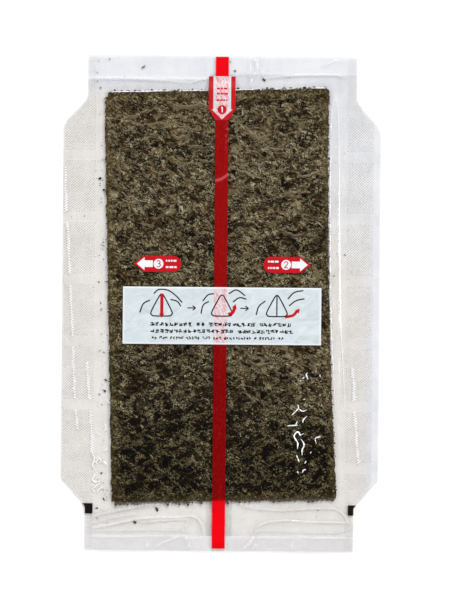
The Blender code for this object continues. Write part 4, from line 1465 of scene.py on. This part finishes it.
def ruled_marks(rows, left, right, height, seed):
    """Rows of short bars of uneven length that stand for small print."""
    random = np.random.default_rng(seed)
    made = []
    for y in rows:
        x = left
        while x < right - 0.5:
            length = min(random.uniform(0.6, 1.9), right - x)
            made.append(between([y - height / 2, y + height / 2], [x, x], [x + length, x + length], 3))
            x += length + MARK_GAP
    return made


def add_print(name, parts, layer, finish):
    """A piece of print from grids of x and y, in one layer of ink."""
    points, faces = joined([print_layer(x, y, layer) for x, y in parts])
    return add_mesh(name, points, faces, finish, flat=True)


def add_side_tag(number, tip_x, red, white):
    """Pull tag 2 or 3: its field, then the arrow, disc and small print on it, then its digit."""
    side = math.copysign(1, tip_x)
    centre = (tip_x - side * SIDE_TAG_DISC, SIDE_TAG_Y)
    field = add_print(f"pull_tag_{number}_red", [side_tag_field(tip_x)], GROUND, red)
    ends = sorted(tip_x - side * away for away in SIDE_TAG_PRINT)
    marks = ruled_marks([SIDE_TAG_Y + 1.45, SIDE_TAG_Y - 1.5], *ends, 0.85, SIDE_TAG_SEED + number)
    pointer = arrow(tip_x - side * 1.2, side, SIDE_TAG_Y, 3.1, 6.0, 3.5, 7.4, 6, upright=True)
    whites = add_print(f"pull_tag_{number}_white", [pointer, disc(centre, 2.28)] + marks, MARKS, white)
    digits = add_print(f"pull_tag_{number}_digit", digit(number, centre), OVER_MARKS, red)
    return field, whites, digits


def add_tag_1(red, pale, white):
    """Pull tag 1 on the tape: its field, a pale arrow, the disc and small print, then its digit."""
    y = steps((TAG_1_TIP, 0.5), (TAG_1_TOP, 0))
    widened = np.clip((y - TAG_1_TIP) / (TAG_1_SHOULDER - TAG_1_TIP), 0, 1)
    half = (TAPE_WIDTH + (TAG_1_WIDTH - TAPE_WIDTH) * widened) / 2
    field = add_print("pull_tag_1_red", [between(y, TAPE_X - half, TAPE_X + half, 12)], GROUND, red)
    tip = TAG_1_TIP + 0.4
    x, y = arrow(tip, -1, TAPE_X, 8.3, 9.9, 4.6, TAG_1_TOP - tip, 12, upright=False)
    over_tape = smooth(abs(x - TAPE_X), TAPE_WIDTH / 2 + 0.2, TAPE_WIDTH / 2 - 0.2)
    values = both_sides(tape=over_tape, rim=0 * over_tape)
    whites = add_mesh("pull_tag_1_white", *print_layer(x, y, MARKS), pale, **values)
    centre = (TAPE_X, TAG_1_TIP + 4.9)
    marks = ruled_marks([99.6, 97.2, 94.2], TAPE_X - 2.5, TAPE_X + 2.7, 0.8, TAG_1_SEED)
    reds = add_print("pull_tag_1_disc", [disc(centre, 2.1)] + marks, OVER_MARKS, red)
    digits = add_print("pull_tag_1_digit", digit(1, centre, 2.6, 0.5), DISC_DIGIT, white)
    return field, whites, reds, digits


def add_panel(finish):
    """The pale panel, which tells its finish where its rim is and where the tape shows through."""
    edge = 1.4  # the outermost part, which has the finest grid
    left_part = [(PANEL_LEFT, 0.35), (PANEL_LEFT + edge, 0.8), (TAPE_X - 4, 0.3)]
    right_part = [(TAPE_X + 4, 0.8), (PANEL_RIGHT - edge, 0.35), (PANEL_RIGHT, 0)]
    rows = steps((PANEL_BOTTOM, 0.35), (PANEL_BOTTOM + edge, 0.8), (PANEL_TOP - edge, 0.35), (PANEL_TOP, 0))
    x, y = np.meshgrid(steps(*left_part, *right_part), rows)
    inset_x = np.minimum(x - PANEL_LEFT, PANEL_RIGHT - x)
    inset_y = np.minimum(y - PANEL_BOTTOM, PANEL_TOP - y)
    rim = smooth(np.minimum(inset_x, inset_y), PANEL_RIM + 0.2, PANEL_RIM - 0.2)
    tape = smooth(abs(x - TAPE_X), TAPE_WIDTH / 2 + 0.25, TAPE_WIDTH / 2 - 0.25)
    tape = tape * (0.75 + 0.35 * noise(x, y, (2, 7), 131, 2))
    values = both_sides(rim=rim, tape=np.clip(tape, 0, 1))
    return add_mesh("instruction_panel_print", *print_layer(x, y, GROUND), finish, **values)


def add_pictures(black, red):
    """Three plain pictures of a wrapped rice ball being opened, with arrows between them."""
    lines = []
    reds = []
    for picture in PICTURES:
        x, y, size = picture.ball
        outline = [(x + size * a, y + size * b) for a, b in BALL]
        lines += [stroke(path, PICTURE_LINE) for path in [outline] + picture.lines]
        reds += [stroke(picture.red_line, picture.red_width), arrow_head(*picture.head)]
    for x in NEXT_ARROWS_X:
        lines += [stroke([(x + a, b) for a, b in path], 0.5) for path in NEXT_ARROW]
    return add_print("panel_lines", lines, MARKS, black), add_print("panel_arrows", reds, MARKS, red)


def arrow_head(x, y, way):
    """A grid that fills a triangle with its tip at a point, pointing the given way in degrees."""
    stations = np.linspace(0, ARROW_HEAD, 4)
    halves = np.maximum(stations * 0.62, 0.03)
    a, b = between(stations, -halves, halves, 3)
    turn = math.radians(way + 180)
    return x + b * math.cos(turn) - a * math.sin(turn), y + b * math.sin(turn) + a * math.cos(turn)


def tick_shape():
    """A flat bar, a unit long and a unit wide, with its corners taken off."""
    ring = [(-0.5, -0.3), (-0.42, -0.5), (0.42, -0.5), (0.5, -0.3)]
    ring += [(-x, -y) for x, y in ring]
    points = [(x, y, 0) for x, y in ring] + [(x, y, 1) for x, y in ring]
    faces = [tuple(range(8, 16)), tuple(range(7, -1, -1))]
    faces += [(n, (n + 1) % 8, 8 + (n + 1) % 8, 8 + n) for n in range(8)]
    return add_shape("tick", points, faces)


def add_small_print(finish):
    """Rows of ticks that stand for the small print of the panel. They spell nothing."""
    random = np.random.default_rng(SMALL_PRINT_SEED)
    ticks = []
    for row in SMALL_PRINT:
        x = row.left
        while x < row.right:
            for _ in range(row.ticks):
                upright = random.random() < 0.45
                if upright:
                    length = row.height * random.uniform(0.35, 0.8)
                else:
                    length = row.pitch * random.uniform(0.35, 0.7)
                dx = random.uniform(-0.3, 0.3) * row.pitch
                dy = random.uniform(-0.5, 0.5) * (row.height - (length if upright else 0.3))
                ticks.append((x + dx, row.y + dy, math.pi / 2 * upright, length))
            x += row.pitch
            if random.random() < row.gaps:
                x += 0.8 * row.pitch
    x, y, angles, length = np.array(ticks).T
    points = np.stack([x, y, print_level(x, y, MARKS)], axis=1)
    sizes = np.stack([length, np.full(len(x), TICK_WIDTH), np.full(len(x), INK)], axis=1)
    return place_shapes("panel_small_print", tick_shape(), points, angles, sizes, finish)


def eye_mark_field(inner_x):
    """A grid that fills the black mark at the foot of one bottom chamfer."""
    side = math.copysign(1, inner_x)
    y = steps((EYE_MARK_BOTTOM, 0.4), (CHAMFER[1], 0.35), (EYE_MARK_TOP, 0))
    outer = side_of_sleeve(y, side) - side * 0.15
    inner = np.full(y.shape, inner_x)
    return between(y, inner, outer, 4) if side > 0 else between(y, outer, inner, 4)


# Materials and pieces.

SHAPES = []
PLACE = place_tree()
SCATTER = scatter_tree()

clear_film = film_finish("clear film", 0.012, 0.20)
inner_clear_film = film_finish("inner clear film", 0.03, 0.235)
film_wrinkles = wrinkle_highlight_finish()
pressed_seal = knurl_finish()
nori_surface = nori_finish()
shred_surface = strand_finish()
red_tape = tape_finish()
red_ink = ink_finish("red print", colour(182, 10, 22), colour(192, 20, 32))
white_ink = ink_finish("white print", colour(226, 226, 230), colour(236, 236, 240))
panel_ink = panel_finish()
black_ink = ink_finish("black print", colour(13, 9, 6), colour(22, 17, 13))


def wear(piece, slot, *nodes):
    """Every piece rides on the one body, and the parts of the frame that it replaces are hidden. The slot is
    not used.
    """
    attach(piece, "root")
    if nodes:
        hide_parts(*nodes)
    return piece


for side_name, side, top in (("left", -1, INNER_LEFT_TOP), ("right", 1, INNER_RIGHT_TOP)):
    half = add_inner_film(f"inner_film_{side_name}_sheet", side, top, inner_clear_film)
    wear(half, "clear_film", f"inner_film_{side_name}")

nori = add_nori(nori_surface)
shreds = add_shreds(nori, shred_surface)
wear(nori, "nori", "nori_sheet")
wear(shreds, "nori")
wear(add_strands(shred_surface), "nori")
wear(add_fringe(shred_surface), "nori")
for crumbs in add_crumbs(shred_surface):
    wear(crumbs, "nori")
wear(add_outer_film(clear_film), "clear_film", "outer_film")
wear(add_knurl(pressed_seal), "clear_film")
wear(add_wrinkle_highlights(film_wrinkles), "clear_film")
wear(add_tape(red_tape), "red_tape", "tear_tape")

for number, tip_x in ((2, TAG_2_TIP_X), (3, TAG_3_TIP_X)):
    field, whites, digits = add_side_tag(number, tip_x, red_ink, white_ink)
    wear(field, "red_print", f"pull_tag_{number}")
    wear(whites, "panel_print")
    wear(digits, "red_print")

field, whites, reds, digits = add_tag_1(red_ink, panel_ink, white_ink)
wear(field, "red_print", "pull_tag_1")
wear(whites, "panel_print")
wear(reds, "red_print")
wear(digits, "panel_print")

wear(add_panel(panel_ink), "panel_print", "instruction_panel")
lines, arrows = add_pictures(black_ink, red_ink)
wear(lines, "black_print")
wear(arrows, "red_print")
wear(add_small_print(black_ink), "black_print")

for side_name, inner_x in (("left", LEFT_EYE_MARK_X), ("right", RIGHT_EYE_MARK_X)):
    mark = add_print(f"eye_mark_{side_name}_print", [eye_mark_field(inner_x)], MARKS, black_ink)
    wear(mark, "black_print", f"eye_mark_{side_name}")

for shape in SHAPES:
    bpy.data.objects.remove(shape)


# The floor, the lights and the camera.


FLOOR_HALF = 6000
FLOOR_LEVEL = -0.3
WORLD_STRENGTH = 0.1
VIEW_HEIGHT = 279  # how much of the floor the view takes in from top to bottom
VIEW_MIDDLE = (1.893, 1.504)  # the point of the sleeve at the middle of the view
VIEW_TURN = math.radians(0.5)
LENS = 100
SENSOR = 36


def add_floor():
    """A broad, pale floor just under the sleeve."""
    corners = [(x * FLOOR_HALF, y * FLOOR_HALF, FLOOR_LEVEL) for x, y in ((-1, -1), (1, -1), (1, 1), (-1, 1))]
    return add_mesh("floor", corners, [(0, 1, 2, 3)], floor_finish(), flat=True)


def add_light(name, off_vertical, towards, strength, softness):
    """A broad, even light. off_vertical and towards are degrees; towards 0 is +X and 90 is +Y."""
    data = bpy.data.lights.new(name, "SUN")
    data.energy = strength
    data.angle = math.radians(softness)
    light = linked(name, data)
    tilt = math.radians(off_vertical)
    turn = math.radians(towards)
    way = Vector((math.sin(tilt) * math.cos(turn), math.sin(tilt) * math.sin(turn), math.cos(tilt)))
    light.rotation_euler = way.to_track_quat("Z", "Y").to_euler()


add_floor()
add_light("upper light", 46, 75, 2.3, 14)
add_light("right light", 50, 5, 1.5, 14)
add_light("left light", 54, 165, 1.0, 20)
add_light("lower light", 56, -95, 0.55, 20)

world = bpy.data.worlds.new("studio")
world.use_nodes = True
world.node_tree.nodes["Background"].inputs["Color"].default_value = (1, 1, 1, 1)
world.node_tree.nodes["Background"].inputs["Strength"].default_value = WORLD_STRENGTH
bpy.context.scene.world = world

camera_data = bpy.data.cameras.new("camera")
camera_data.lens = LENS
camera_data.sensor_width = SENSOR
camera = linked("camera", camera_data)
camera.location = (VIEW_MIDDLE[0] * MM, VIEW_MIDDLE[1] * MM, VIEW_HEIGHT * LENS / SENSOR * MM)
camera.rotation_euler = (0, 0, VIEW_TURN)
bpy.context.scene.camera = camera
bpy.context.scene.view_settings.view_transform = "Standard"
